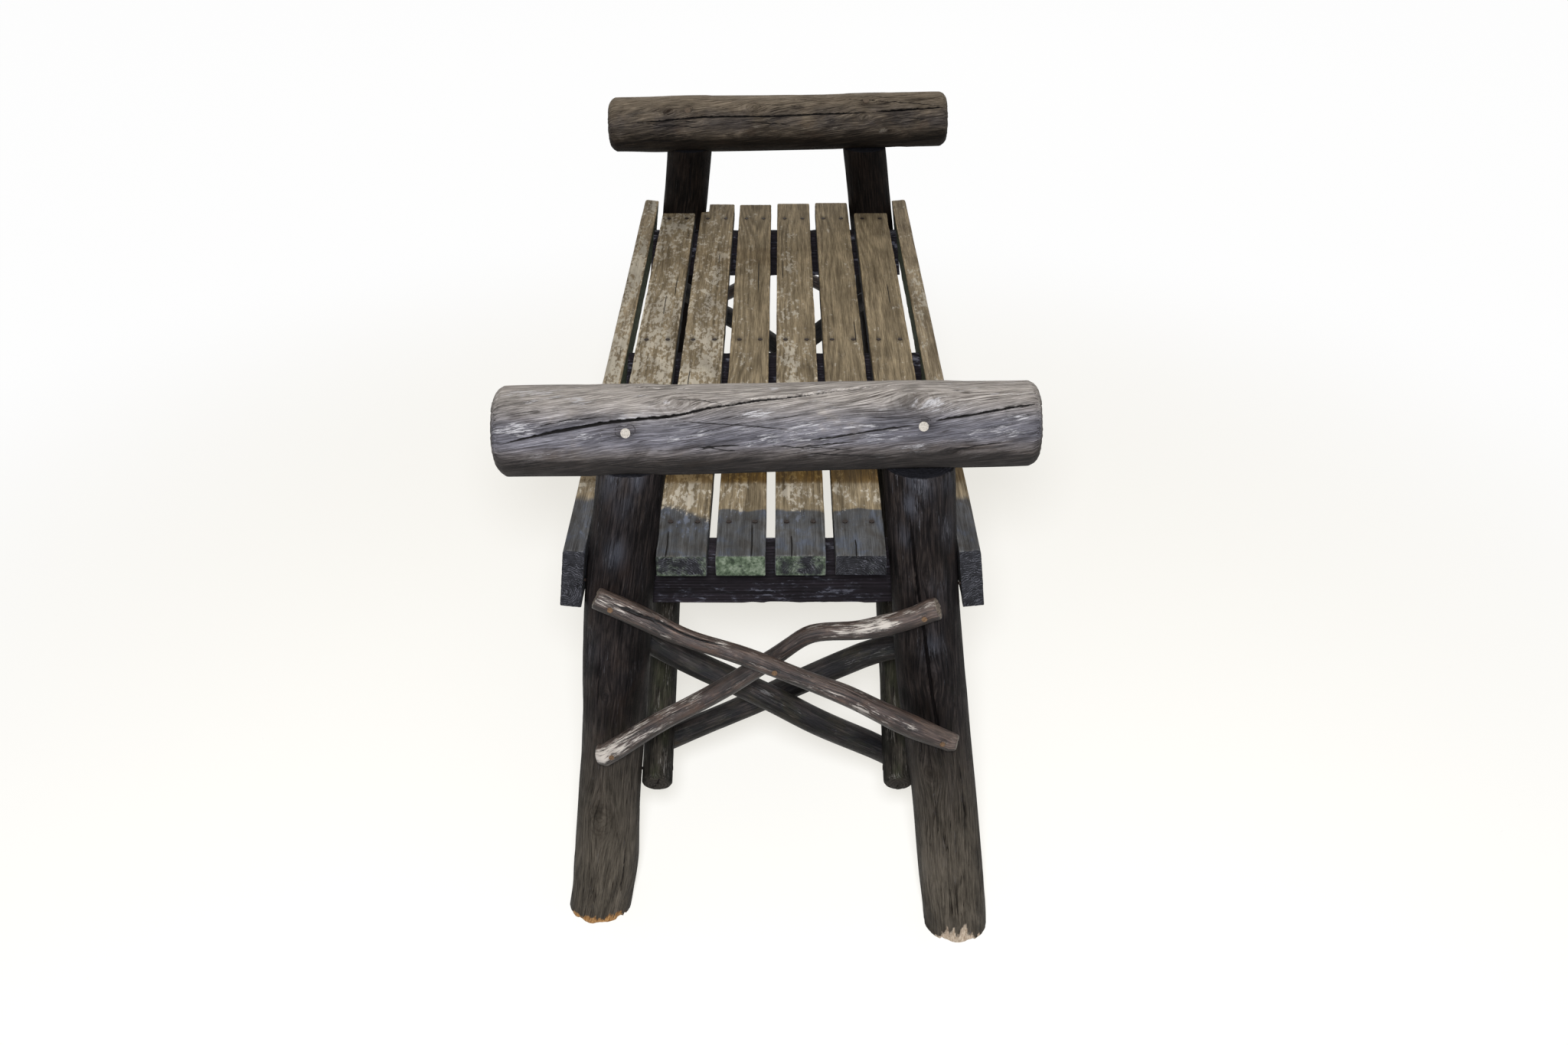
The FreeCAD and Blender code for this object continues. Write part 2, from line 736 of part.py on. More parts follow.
# Slat nails, two through each slat into each bearer
down = Vec(0, 0, -1)
for tag, back in bearer_backs.items():
    toward_middle = {"near": 1, "middle": 0, "far": -1}[tag]
    y = back + bearer_thickness / 2 + toward_middle * slat_nail_set_back
    for index, left in enumerate(slat_lefts):
        width = slat_widths[index]
        for hand in (-1, 1):
            x = left + width / 2 + hand * width * slat_nail_spread_share
            names = ("seat_slat_" + str(index + 1), "bearer_" + tag)
            drive_nail("slat_nails_" + tag, names, Vec(x, y, seat_height), down, slat_nail_length)

# Rail nails, into the ends of the bearers and into the legs
for side in (LEFT, RIGHT):
    across = Vec(side * math.cos(splay), 0, math.sin(splay))
    along_down = Vec(side * math.sin(splay), 0, -math.cos(splay))
    outer_edge = Vec(side * rail_inner, 0, seat_height) + across * (rail_thickness + nail_stand_out)
    rail_name = "side_rail_" + SIDE_NAMES[side]
    group = "rail_nails_" + SIDE_NAMES[side]
    for tag, back in bearer_backs.items():
        for depth in rail_nail_depths:
            start = outer_edge + along_down * depth + Vec(0, back + bearer_thickness / 2, 0)
            drive_nail(group, (rail_name, "bearer_" + tag), start, -across, rail_nail_length)
    for end in (NEAR, FAR):
        start = outer_edge + along_down * rail_leg_nail_depth
        start.y = leg_point(end, side, start.z).y
        leg_name = "leg_" + END_NAMES[end] + "_" + SIDE_NAMES[side]
        drive_nail(group, (rail_name, leg_name), start, -across, rail_nail_length)

# Everything is moved so that the middle of the bench stands over the origin
nodes = {name: shape.Solids[0] for name, shape in pieces.items()}
nodes.update({name: Part.makeCompound(group) for name, group in fixings.items()})
box = FreeCAD.BoundBox()
for shape in nodes.values():
    box.add(shape.BoundBox)
for name, shape in nodes.items():
    shape.translate(Vec(-box.Center.x, -box.Center.y, -box.ZMin))
    shape.exportStep("parts/" + name + ".step")
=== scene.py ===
import math

import bpy
import numpy as np
from mathutils import Matrix, Vector
from mathutils.bvhtree import BVHTree


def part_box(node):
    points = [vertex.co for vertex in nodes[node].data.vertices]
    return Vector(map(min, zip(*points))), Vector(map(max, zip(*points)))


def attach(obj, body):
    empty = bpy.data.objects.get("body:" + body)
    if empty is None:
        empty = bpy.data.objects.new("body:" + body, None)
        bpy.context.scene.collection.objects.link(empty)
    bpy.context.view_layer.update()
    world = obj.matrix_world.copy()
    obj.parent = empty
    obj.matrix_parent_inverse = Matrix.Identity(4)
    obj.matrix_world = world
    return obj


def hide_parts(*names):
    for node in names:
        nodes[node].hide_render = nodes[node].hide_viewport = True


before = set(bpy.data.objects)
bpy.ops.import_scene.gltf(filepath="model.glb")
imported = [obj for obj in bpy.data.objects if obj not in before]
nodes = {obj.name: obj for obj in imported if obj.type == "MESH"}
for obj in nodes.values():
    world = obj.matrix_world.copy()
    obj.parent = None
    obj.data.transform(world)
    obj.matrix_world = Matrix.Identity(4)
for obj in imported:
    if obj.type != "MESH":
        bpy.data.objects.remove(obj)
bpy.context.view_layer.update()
bpy.context.view_layer.update()
scene = bpy.context.scene

# Picture and camera. The focal length is in pixels of the picture
PICTURE = (2048, 1365)
FOCAL = 2027.0
SENSOR = 36.0
CAMERA_PLACE = Vector((0.0092, -1.7187, 1.1985))
CAMERA_PITCH = math.radians(30.047)
CAMERA_YAW = math.radians(0.098)

forward = Vector((
    math.sin(CAMERA_YAW) * math.cos(CAMERA_PITCH),
    math.cos(CAMERA_YAW) * math.cos(CAMERA_PITCH),
    -math.sin(CAMERA_PITCH),
))
rightward = Vector((math.cos(CAMERA_YAW), -math.sin(CAMERA_YAW), 0.0))
upward = rightward.cross(forward)

camera_data = bpy.data.cameras.new("camera")
camera_data.sensor_width = SENSOR
camera_data.lens = FOCAL / PICTURE[0] * SENSOR
camera_data.clip_end = 60.0
camera = bpy.data.objects.new("camera", camera_data)
scene.collection.objects.link(camera)
turn = Matrix((rightward, upward, -forward)).transposed()
camera.matrix_world = Matrix.Translation(CAMERA_PLACE) @ turn.to_4x4()
scene.camera = camera


# Arrays
X, Y, Z = np.eye(3)


def stacked(*columns):
    """Columns side by side; a plain number is the same in every row."""
    return np.stack(np.broadcast_arrays(*columns), 1)


def unit(vector):
    vector = np.asarray(vector, float)
    return vector / np.linalg.norm(vector)


def units(vectors):
    return vectors / np.linalg.norm(vectors, axis=1)[:, None]


def smooth(low, high, value):
    part = np.clip((value - low) / (high - low), 0.0, 1.0)
    return part * part * (3 - 2 * part)


def bell(distance, power=2):
    """1 in the middle of a mark, falling off to 0 beyond a distance of 1."""
    return np.exp(-distance ** power)


# Noise on arrays of points. Large odd numbers mix the bits of a place
MIX_X, MIX_Y, MIX_Z, MIX_SEED = 374761393, 668265263, 2246822519, 3266489917


def lattice(ix, iy, iz, seed):
    """Random numbers from -1 to 1 at whole-number places."""
    h = ix * np.uint32(MIX_X) + iy * np.uint32(MIX_Y) + iz * np.uint32(MIX_Z)
    h = h + np.uint32(seed * MIX_SEED % 2 ** 32)
    h = (h ^ (h >> np.uint32(15))) * np.uint32(MIX_Z)
    h = (h ^ (h >> np.uint32(13))) * np.uint32(MIX_SEED)
    h = h ^ (h >> np.uint32(16))
    return h.astype(np.float64) / (2 ** 31 - 0.5) - 1.0


def noise(points, seed=0):
    """Smooth noise from -1 to 1 at points of an array of shape (n, 3)."""
    base = np.floor(points)
    part = points - base
    part = part * part * part * (part * (part * 6 - 15) + 10)
    cell = base.astype(np.int64).astype(np.uint32)
    one = np.uint32(1)
    x, y, z = cell[:, 0], cell[:, 1], cell[:, 2]
    u, v, w = part[:, 0], part[:, 1], part[:, 2]

    def edge(yy, zz):
        return lattice(x, yy, zz, seed) * (1 - u) + lattice(x + one, yy, zz, seed) * u

    low = edge(y, z) * (1 - v) + edge(y + one, z) * v
    high = edge(y, z + one) * (1 - v) + edge(y + one, z + one) * v
    return low * (1 - w) + high * w


def layered(points, octaves, seed=0, gain=0.5):
    """Sum of ever finer noise."""
    return sum(noise(points * 2.0 ** level, seed + level * 17) * gain ** level for level in range(octaves))


# Reading the CAD solids
def read(items, key, width, kind=float):
    """One property of all vertices or edges of a mesh, a row for each."""
    numbers = np.zeros(len(items) * width, dtype=kind)
    items.foreach_get(key, numbers)
    return numbers.reshape(-1, width)


def points_of(name):
    return read(nodes[name].data.vertices, "co", 3)


def box_of(name):
    low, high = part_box(name)
    return np.array(low), np.array(high)


def plane_axes(normal, reference=None):
    """Two unit vectors square to a normal; the first is as near as it can be to the reference."""
    normal = np.asarray(normal, float)
    if reference is None:
        reference = Z if abs(normal[2]) < 0.8 else -Y
    e1 = unit(reference - normal * (reference @ normal))
    return e1, np.cross(normal, e1)


def slice_circle(points, ends, origin, normal):
    """Middle and radius of the round outline where a plane cuts a solid."""
    side = (points - origin) @ normal
    a, b = side[ends[:, 0]], side[ends[:, 1]]
    cut = (a > 0) != (b > 0)
    if not cut.any():
        return None
    part = (a[cut] / (a[cut] - b[cut]))[:, None]
    hits = points[ends[cut, 0]] * (1 - part) + points[ends[cut, 1]] * part
    e1, e2 = plane_axes(normal)
    flat = stacked((hits - origin) @ e1, (hits - origin) @ e2)
    middle = np.zeros(2)
    spans = []
    directions = (0.0, 0.4, 0.8, 1.2)
    for angle in directions:
        direction = np.array([math.cos(angle), math.sin(angle)])
        square = np.array([-direction[1], direction[0]])
        for way in (direction, square):
            reach = flat @ way
            spans.append((reach.max() - reach.min()) / 2)
            middle += way * (reach.max() + reach.min()) / 2
    middle /= len(directions)
    return origin + e1 * middle[0] + e2 * middle[1], float(np.median(spans))


class Tube:
    """Middle line and thickness of a round CAD piece, and places on its surface."""

    STATIONS = 60

    def __init__(self, name, first, last, first_normal=None, last_normal=None, trim=(0.0, 0.0)):
        """Planes across the piece measure it: all with the first normal, or else square to the piece."""
        self.name, self.first_normal, self.last_normal = name, first_normal, last_normal
        points, ends = points_of(name), read(nodes[name].data.edges, "vertices", 2, np.int64)
        chord = unit(last - first)
        shares = np.linspace(trim[0] + 0.002, 1 - trim[1] - 0.002, self.STATIONS)
        middles = np.array([first + (last - first) * share for share in shares])
        radii = np.zeros(self.STATIONS)
        for attempt in range(3):
            steps = np.gradient(middles, axis=0)
            for row in range(self.STATIONS):
                normal = chord if attempt == 0 else steps[row]
                if first_normal is not None:
                    normal = first_normal
                found = slice_circle(points, ends, middles[row], unit(normal))
                if found:
                    middles[row], radii[row] = found
        pace = shares[1] - shares[0]
        lead = middles[0] + (middles[0] - middles[3]) / 3 * (shares[0] / pace)
        tail = middles[-1] + (middles[-1] - middles[-4]) / 3 * ((1 - shares[-1]) / pace)
        self.middles = np.vstack([lead, middles, tail])
        self.radii = np.concatenate([[radii[0]], radii, [radii[-1]]])
        gaps = np.linalg.norm(np.diff(self.middles, axis=0), axis=1)
        self.along = np.concatenate([[0], np.cumsum(gaps)])
        self.length = float(self.along[-1])
        self.mean_radius = float(self.radii.mean())
        self.reference = plane_axes(unit(self.middles[-1] - self.middles[0]))[0]

    def lengthen(self, rise):
        """Run the last end on in its own direction until it is higher by the rise."""
        run = self.middles[-1] - self.middles[-5]
        last = self.middles[-1] + run / run[2] * rise
        self.along = np.append(self.along, self.along[-1] + np.linalg.norm(last - self.middles[-1]))
        self.middles = np.vstack([self.middles, last])
        self.radii = np.append(self.radii, self.radii[-1])
        self.length = float(self.along[-1])

    def middle_at(self, t):
        return stacked(*(np.interp(t, self.along, self.middles[:, k]) for k in range(3)))

    def at(self, t):
        """Middles, radii and plane normals at distances along the tube."""
        t = np.asarray(t, float)
        step = self.length / 40
        normals = self.middle_at(np.minimum(t + step, self.length)) - self.middle_at(np.maximum(t - step, 0))
        if self.last_normal is not None:
            weight = smooth(self.length - 3.0 * self.mean_radius, self.length, t)[:, None]
            normals = units(normals) * (1 - weight) + unit(self.last_normal) * weight
        elif self.first_normal is not None:
            normals = np.tile(unit(self.first_normal), (len(t), 1))
        return self.middle_at(t), np.interp(t, self.along, self.radii), units(normals)

    def place(self, point):
        """Distance along and angle round the tube of a point near its surface."""
        t = np.linspace(0, self.length, 400)
        middles, _, normals = self.at(t)
        offset = np.abs(np.einsum("ij,ij->i", point - middles, normals))
        offset += np.linalg.norm(point - middles, axis=1) * 0.05
        row = int(np.argmin(offset))
        e1, e2 = plane_axes(normals[row], self.reference)
        out = point - middles[row]
        return float(t[row]), math.atan2(out @ e2, out @ e1)


# Places seen in the picture
BENCH_DISTANCE = 1.6
trees = {}


def seen(name, u, v):
    """Point on a CAD piece under a place in the picture."""
    if name not in trees:
        mesh = nodes[name].data
        mesh.calc_loop_triangles()
        triangles = [tuple(t.vertices) for t in mesh.loop_triangles]
        trees[name] = BVHTree.FromPolygons([v.co.copy() for v in mesh.vertices], triangles)
    direction = forward + rightward * ((u - PICTURE[0] / 2) / FOCAL) - upward * ((v - PICTURE[1] / 2) / FOCAL)
    direction = direction.normalized()
    hit = trees[name].ray_cast(CAMERA_PLACE, direction)[0]
    if hit is None:
        hit = trees[name].find_nearest(CAMERA_PLACE + direction * BENCH_DISTANCE)[0]
    return np.array(hit)


def marks_from_picture(tube, rows):
    """Rows of numbers in which a place on the tube stands for the place in the picture."""
    return [(*tube.place(seen(tube.name, u, v)), *rest) for u, v, *rest in rows]


def marks_on(tube, table):
    return marks_from_picture(tube, table.get(tube.name, ()))


def ends_of(name, way, first_depth, last_depth):
    """Middles of the points of a CAD piece that lie farthest back and farthest on in a direction."""
    points = points_of(name)
    reach = points @ way
    first = points[reach < reach.min() + first_depth].mean(0)
    return first, points[reach > reach.max() - last_depth].mean(0)


# Nail and peg heads
PEG_RADIUS = 0.00425
NAIL_RADIUS = 0.0026
HEAD_REACH = 0.0016
HEAD_SPACING = 0.008
HEAD_SINK = 0.00025
HEAD_GAP = 0.0003
HEAD_GAP_HALF = 0.0002
NAIL_GROUPS = [name for name in nodes if "nails" in name]


def heads_on(tube, groups):
    """Places on a tube where the nails or pegs of some groups come out, with the radius of the head."""
    places = []
    for group in groups:
        size = PEG_RADIUS if "pegs" in group else NAIL_RADIUS
        found = []
        for point in points_of(group)[::7]:
            gap = np.linalg.norm(tube.middles - point, axis=1)
            row = int(np.argmin(gap))
            if abs(gap[row] - tube.radii[row]) < HEAD_REACH:
                t, angle = tube.place(point)
                if all(abs(t - other[0]) > HEAD_SPACING for other in found):
                    found.append((t, angle, size))
        places += found
    return places


# Meshes. Values written where no crack and no knot is near
NO_CRACK = 0.006
NO_KNOT = 3.0


def capped(values, at_ends=0.0):
    """The values of all rows, and one for each of the points in the middle of the two end faces."""
    return np.concatenate([values, np.full((2,) + values.shape[1:], at_ends)])


def grid_faces(rows, columns):
    """Quads of a closed tube of rows, and fans that close both ends on the two last points."""
    ring = np.arange(columns)
    following = (ring + 1) % columns
    begin = np.arange(rows - 1)[:, None] * columns
    a, b = begin + ring, begin + following
    quads = np.stack([a, b, b + columns, a + columns], -1).reshape(-1, 4)
    start, top = rows * columns, (rows - 1) * columns
    first = stacked(following, ring, start)
    last = stacked(top + ring, top + following, start + 1)
    return quads, np.vstack([first, last])


def make_piece(node, rows, columns, points, values, material):
    """Closed tube of rows of points that stands for a CAD node."""
    quads, triangles = grid_faces(rows, columns)
    mesh = bpy.data.meshes.new(node + "_wood")
    mesh.vertices.add(len(points))
    mesh.vertices.foreach_set("co", points.astype(np.float32).ravel())
    loops = np.concatenate([quads.ravel(), triangles.ravel()])
    starts = np.concatenate([np.arange(len(quads)) * 4, quads.size + np.arange(len(triangles)) * 3])
    mesh.loops.add(len(loops))
    mesh.loops.foreach_set("vertex_index", loops.astype(np.int32))
    mesh.polygons.add(len(starts))
    mesh.polygons.foreach_set("loop_start", starts.astype(np.int32))
    mesh.polygons.foreach_set("use_smooth", np.ones(len(starts), dtype=bool))
    mesh.update(calc_edges=True)
    for key, value in values.items():
        kind, field = ("FLOAT_VECTOR", "vector") if value.ndim == 2 else ("FLOAT", "value")
        layer = mesh.attributes.new(key, kind, "POINT")
        layer.data.foreach_set(field, value.astype(np.float32).ravel())
    mesh.materials.append(material)
    piece = bpy.data.objects.new(node + "_wood", mesh)
    scene.collection.objects.link(piece)
    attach(piece, "root")
    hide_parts(node)


# Cracks
GROOVE_EDGE = 0.0005


def split(t, across, line, width, turn_length, ragged=1.0):
    """A crack along a line on an unrolled tube. How far points are outside its edge, the share of its depth
    there, and how much of it is left towards its ends."""
    gap = np.full(len(t), np.inf)
    share = np.zeros(len(t))
    lengths = np.linalg.norm(np.diff(line, axis=0), axis=1)
    done = 0.0
    for (t0, a0), (t1, a1), size in zip(line[:-1], line[1:], lengths):
        dt, da = t1 - t0, a1 - a0
        x = across - a0
        x = x - turn_length * np.round(x / turn_length)
        y = t - t0
        part = np.clip((x * da + y * dt) / (size * size), 0, 1)
        here = np.hypot(x - part * da, y - part * dt)
        share = np.where(here < gap, (done + part * size) / lengths.sum(), share)
        gap = np.minimum(here, gap)
        done += size
    taper = np.clip(np.minimum(share, 1 - share) * 6, 0, 1) ** 0.7
    half = width / 2 * taper * ragged
    groove = np.clip(1 - gap / (half + GROOVE_EDGE), 0, 1)
    return np.where(taper > 0.02, gap - half, NO_CRACK), groove, taper


def unwrap(line, turn_length):
    """The same line with each step round the tube taken the short way."""
    line = np.array(line, float)
    for row in range(1, len(line)):
        gap = line[row, 1] - line[row - 1, 1]
        line[row, 1] -= turn_length * round(gap / turn_length)
    return line


def cracks_on(tube, generator, count, longest, width, slope=0.0):
    """Lines on the unrolled tube, each with its width and depth: the cracks that the picture shows, and
    short drying cracks that follow the grain."""
    cracks = []
    for pixels, crack_width, deep in CRACKS.get(tube.name, ()):
        places = marks_from_picture(tube, pixels)
        cracks.append(([(t, angle * tube.mean_radius) for t, angle in places], crack_width, deep))
    around = 2 * math.pi * tube.mean_radius
    for _ in range(count):
        size = longest * generator.uniform(0.25, 1.0)
        start = generator.uniform(0.02 * tube.length, 0.98 * tube.length - size)
        across = generator.uniform(0, around)
        line = []
        for part in np.linspace(0, 1, 6):
            line.append((start + part * size, across + slope * part * size + generator.normal(0, 0.0006)))
        cracks.append((line, width * generator.uniform(0.5, 1.0), width * generator.uniform(1.0, 2.5)))
    return cracks


# Round pieces. Noise is finer across the grain than along it: repeats in a metre in x, y and along
LUMP = (24.0, 24.0, 8.0)
FIBRE = (420.0, 420.0, 16.0)
FURROW = (150.0, 150.0, 7.0)
DENT = (60.0, 60.0, 22.0)
CRACK_WANDER = 0.0003
END_RELIEF = 0.0008
END_RINGS = 0.0032
END_CHECKS = 5
END_CHECK_HALF = 0.0009
CHIP_REACH = 0.03


def end_rows(rounding, radius, count):
    """Rows from the middle of an end face to its rounded rim: distance from the end, share of the radius,
    and how much of an end face each row is."""
    flat = 1 - rounding / radius
    rows = [(0.0, share * flat, 1.0) for share in np.linspace(0.06, 1, count, endpoint=False)]
    for angle in np.linspace(0, math.pi / 2, 5):
        rows.append((rounding * (1 - math.cos(angle)), 1 - rounding / radius * (1 - math.sin(angle)),
                     1 - angle / (math.pi / 2)))
    return rows


def mirrored(rows, length):
    """The rows of one end, for the other end."""
    return [(length - t, share, cap) for t, share, cap in reversed(rows)]


def turned(gap):
    """An angle from minus half a turn to half a turn."""
    return (gap + math.pi) % (2 * math.pi) - math.pi


def log(tube, material, columns, step, seed, cracks, calm, rounds, spiral, lumps, grain, cap_rows,
        knots=(), chips=(), ground=False):
    """Round piece of weathered wood on a CAD middle line."""
    radius = tube.mean_radius
    around = 2 * math.pi * radius
    side_rows = np.arange(rounds[0] + step, tube.length - rounds[1] - step / 2, step)
    rows = end_rows(rounds[0], radius, cap_rows) + [(t, 1.0, 0.0) for t in side_rows]
    rows = np.array(rows + mirrored(end_rows(rounds[1], radius, cap_rows), tube.length))
    middles, radii, normals = tube.at(rows[:, 0])
    e1 = units(tube.reference - normals * (normals @ tube.reference)[:, None])
    e2 = np.cross(normals, e1)
    t, share, cap = np.repeat(rows, columns, 0).T
    angle = np.tile(np.arange(columns) / columns * 2 * math.pi, len(rows))
    across = angle * radius
    count = len(t)

    def offset(a0):
        gap = across - a0 * radius
        return gap - around * np.round(gap / around)

    def away(t0, a0, size=1.0, longer=1.0):
        """Distance from a mark in sizes of it; along the log the mark is so many times longer."""
        return np.hypot(offset(a0), (t - t0) / longer) / size

    # Grain runs along the log, turns a little round it and flows past the knots
    flow = across - spiral * t
    knot = np.full(count, NO_KNOT)
    heart = np.zeros(count)
    swelling = np.zeros(count)
    for t0, a0, size, rise, dark in (*marks_on(tube, KNOTS), *knots):
        rho = away(t0, a0, size, 1.5)
        flow -= offset(a0) * 0.88 * bell(away(t0, a0, size * 1.2, 2.2))
        knot = np.minimum(knot, rho)
        heart = np.maximum(heart, dark * np.exp(-rho ** 2 * 5))
        swelling += rise * (np.exp(-rho ** 2 * 1.2) + 0.22 * np.cos(rho * 8) * np.exp(-rho ** 2 * 0.8))
    flow_angle = flow / radius
    skin = stacked(np.cos(flow_angle) * radius, np.sin(flow_angle) * radius, t)

    # Relief on the side
    relief = layered(skin * LUMP + seed, 3, seed) * lumps
    relief += layered(skin * FIBRE + seed, 3, seed + 5, 0.6) * grain
    furrow = noise(skin * FURROW + seed, seed + 9)
    relief -= np.maximum(furrow - 0.35, 0) * grain * 3.5
    relief -= np.maximum(noise(skin * DENT + seed, seed + 13) - 0.45, 0) * lumps * 1.6
    relief += swelling
    for t0, a0, size, rise in marks_on(tube, BUMPS):
        relief += rise * bell(away(t0, a0, size, 1.8))
    crack = np.full(count, NO_CRACK)
    stain = np.zeros(count)
    for t0, a0, size in calm:
        gap = away(t0, a0)
        near = bell(gap / (size * 1.7), 4)
        relief = relief * (1 - near) - HEAD_SINK * near
        stain = np.maximum(stain, bell(gap / (size * 2.0)))
        crack = np.minimum(crack, np.abs(gap - size - HEAD_GAP) - HEAD_GAP_HALF)

    # Cracks: a groove with steep walls
    depth = np.zeros(count)
    wander = noise(stacked(t * 300, across * 300, 0.0), seed + 31)
    for line, width, deep in cracks:
        edge, groove, taper = split(t, across + wander * CRACK_WANDER, unwrap(line, around), width, around,
                                    1 + wander * 0.35)
        depth = np.maximum(depth, deep * taper * groove ** 0.7)
        crack = np.minimum(crack, edge)
    relief -= depth * np.clip((1 - cap) * 2, 0, 1)

    # Splinters broken off the first end
    inward = np.zeros(count)
    fresh = np.zeros(count)
    for a0, half_angle, high, deep in chips:
        ragged = layered(stacked(np.cos(angle) * 7, np.sin(angle) * 7, a0), 4, seed + 41, 0.7)
        edge = high * np.clip(1 - (turned(angle - a0) / half_angle) ** 4, 0, 1)
        edge *= np.clip(0.75 + ragged * 0.5, 0.1, 2)
        inside = np.clip(1 - t / np.maximum(edge, 1e-5), 0, 1) * (t < CHIP_REACH)
        inward = np.maximum(inward, deep * np.clip(inside * 2.2, 0, 1) ** 0.6 * (0.8 + 0.4 * furrow))
        fresh = np.maximum(fresh, smooth(0.0, 0.10, inside))

    base = np.repeat(radii, columns)
    reach = base * share + relief * np.clip(share, 0, 1) * np.clip((1 - cap) * 1.5, 0, 1)
    reach = np.minimum(reach, base - inward)
    outward = np.repeat(e1, columns, 0) * np.cos(angle)[:, None]
    outward += np.repeat(e2, columns, 0) * np.sin(angle)[:, None]
    points = np.repeat(middles, columns, 0) + outward * reach[:, None]

    # Relief on the end faces: rings, and checks that run out from the middle
    face = stacked(np.cos(angle) * share * radius, np.sin(angle) * share * radius, 0.0)
    wobble = layered(face * 90.0 + seed, 2, seed + 3) * 0.10
    rings = np.sin((share + wobble * 0.25) * radius * 2 * math.pi / END_RINGS)
    star = np.zeros(count)
    generator = np.random.default_rng(seed + 77)
    for _ in range(END_CHECKS):
        gap = turned(angle - generator.uniform(0, 2 * math.pi))
        gap = np.abs(gap + noise(face * 200, seed + 8) * 0.05) * share * radius
        inner = generator.uniform(0.0, 0.5)
        star = np.maximum(star, np.clip(1 - gap / END_CHECK_HALF, 0, 1) * smooth(inner, inner + 0.15, share))
    pit = (rings * 0.25 - star * 3 + layered(face * 260, 2, seed + 4) * 0.5) * END_RELIEF
    sign = np.where(t < tube.length / 2, -1.0, 1.0)
    points += np.repeat(normals, columns, 0) * (pit * smooth(0.5, 1.0, cap) * sign)[:, None]
    crack = np.minimum(crack, np.where((star > 0.25) & (cap > 0.6), -0.0004 * star, NO_CRACK))
    if ground:
        points[:, 2] = np.maximum(points[:, 2], 0.0)

    # Pale spots; a strength below zero makes a dark smudge of painted shade, where the branches cast shade on
    # the legs and on each other
    pale = np.zeros(count)
    for t0, a0, size, strength in marks_on(tube, SPOTS):
        spot = bell(away(t0, a0, size, 1.6))
        pale = np.maximum(pale, strength * spot)
        stain = np.maximum(stain, -strength * spot)
    values = {
        "grain": np.vstack([skin * stacked(share, share, 1.0), [[0, 0, 0], [0, 0, tube.length]]]),
        "marks": capped(stacked(pale, stain, heart)),
        "crack": capped(crack, NO_CRACK),
        "knot": capped(knot, NO_KNOT),
        "cap": capped(cap, 1.0),
        "fresh": capped(fresh),
        # up and facing also place the painted shade underneath and on the faces turned sideways
        "up": capped(outward[:, 2]),
        "facing": capped(np.abs(outward[:, 1]), 1.0),
    }
    make_piece(tube.name, len(rows), columns, np.vstack([points, middles[[0, -1]]]), values, material)


# Node materials
class Graph:
    """Short way to write the node tree of a material or the world. Its noises lie on the base coordinates."""

    def __init__(self, owner):
        owner.use_nodes = True
        self.owner = owner
        self.tree = owner.node_tree
        self.tree.nodes.clear()
        self.base = None

    def node(self, kind, inputs=(), **settings):
        made = self.tree.nodes.new("ShaderNode" + kind)
        for key, value in settings.items():
            setattr(made, key, value)
        for key, value in dict(inputs).items():
            self.give(made.inputs[key], value)
        return made

    def give(self, socket, value):
        if isinstance(value, bpy.types.NodeSocket):
            self.tree.links.new(value, socket)
        elif socket.type == "RGBA" and len(value) == 3:
            socket.default_value = (*value, 1.0)
        else:
            socket.default_value = value

    def attribute(self, name, output="Fac"):
        return self.node("Attribute", attribute_name=name).outputs[output]

    def parts(self, vector):
        return self.node("SeparateXYZ", {0: vector}).outputs

    def size(self, vector):
        return self.node("VectorMath", {0: vector}, operation="LENGTH").outputs["Value"]

    def stretch(self, vector, scale, place=(0, 0, 0)):
        return self.node("Mapping", {"Vector": vector, "Scale": scale, "Location": place}).outputs[0]

    def noise(self, scale, detail, rough=0.55, distortion=0.0, stretch=None, place=(0, 0, 0)):
        vector = self.stretch(self.base, stretch, place) if stretch else self.base
        return self.node("TexNoise", {"Vector": vector, "Scale": scale, "Detail": detail, "Roughness": rough,
                                      "Distortion": distortion}).outputs[0]

    def math(self, kind, *values):
        return self.node("Math", dict(enumerate(values)), operation=kind).outputs[0]

    def times(self, a, b):
        return self.math("MULTIPLY", a, b)

    def add(self, value, share, total):
        """The total with a share of the value added."""
        return self.math("MULTIPLY_ADD", value, share, total)

    def wave(self, value, rate):
        return self.math("SINE", self.times(value, rate))

    def span(self, value, low, high, to_low=0.0, to_high=1.0):
        return self.node("MapRange", {"Value": value, "From Min": low, "From Max": high, "To Min": to_low,
                                      "To Max": to_high}, interpolation_type="SMOOTHSTEP").outputs[0]

    def mix(self, share, a, b, kind="MIX"):
        made = self.node("Mix", data_type="RGBA", blend_type=kind)
        for key, value in (("Factor", share), (6, a), (7, b)):
            self.give(made.inputs[key], value)
        return made.outputs[2]

    def shade(self, share, color, by):
        """The colour with a share of it multiplied by another."""
        return self.mix(share, color, self.mix(1.0, color, by, "MULTIPLY"))

    def ramp(self, value, places, colors):
        made = self.node("ValToRGB", {"Fac": value})
        points = made.color_ramp.elements
        while len(points) < len(places):
            points.new(0.5)
        for point, place, color in zip(points, places, colors):
            point.position = place
            point.color = (*color, 1.0)
        return made.outputs[0]

    def finish(self, color, roughness, height, distance, specular):
        bump = self.node("Bump", {"Height": height, "Strength": 1.0, "Distance": distance}).outputs[0]
        shader = self.node("BsdfPrincipled", {"Base Color": color, "Roughness": roughness, "Normal": bump,
                                              "Specular IOR Level": specular})
        self.node("OutputMaterial", {"Surface": shader.outputs[0]})
        return self.owner


def material_graph(name):
    return Graph(bpy.data.materials.new(name))


def shades(color, *factors):
    """The same colour darker or lighter."""
    return [tuple(part * factor for part in color) for factor in factors]


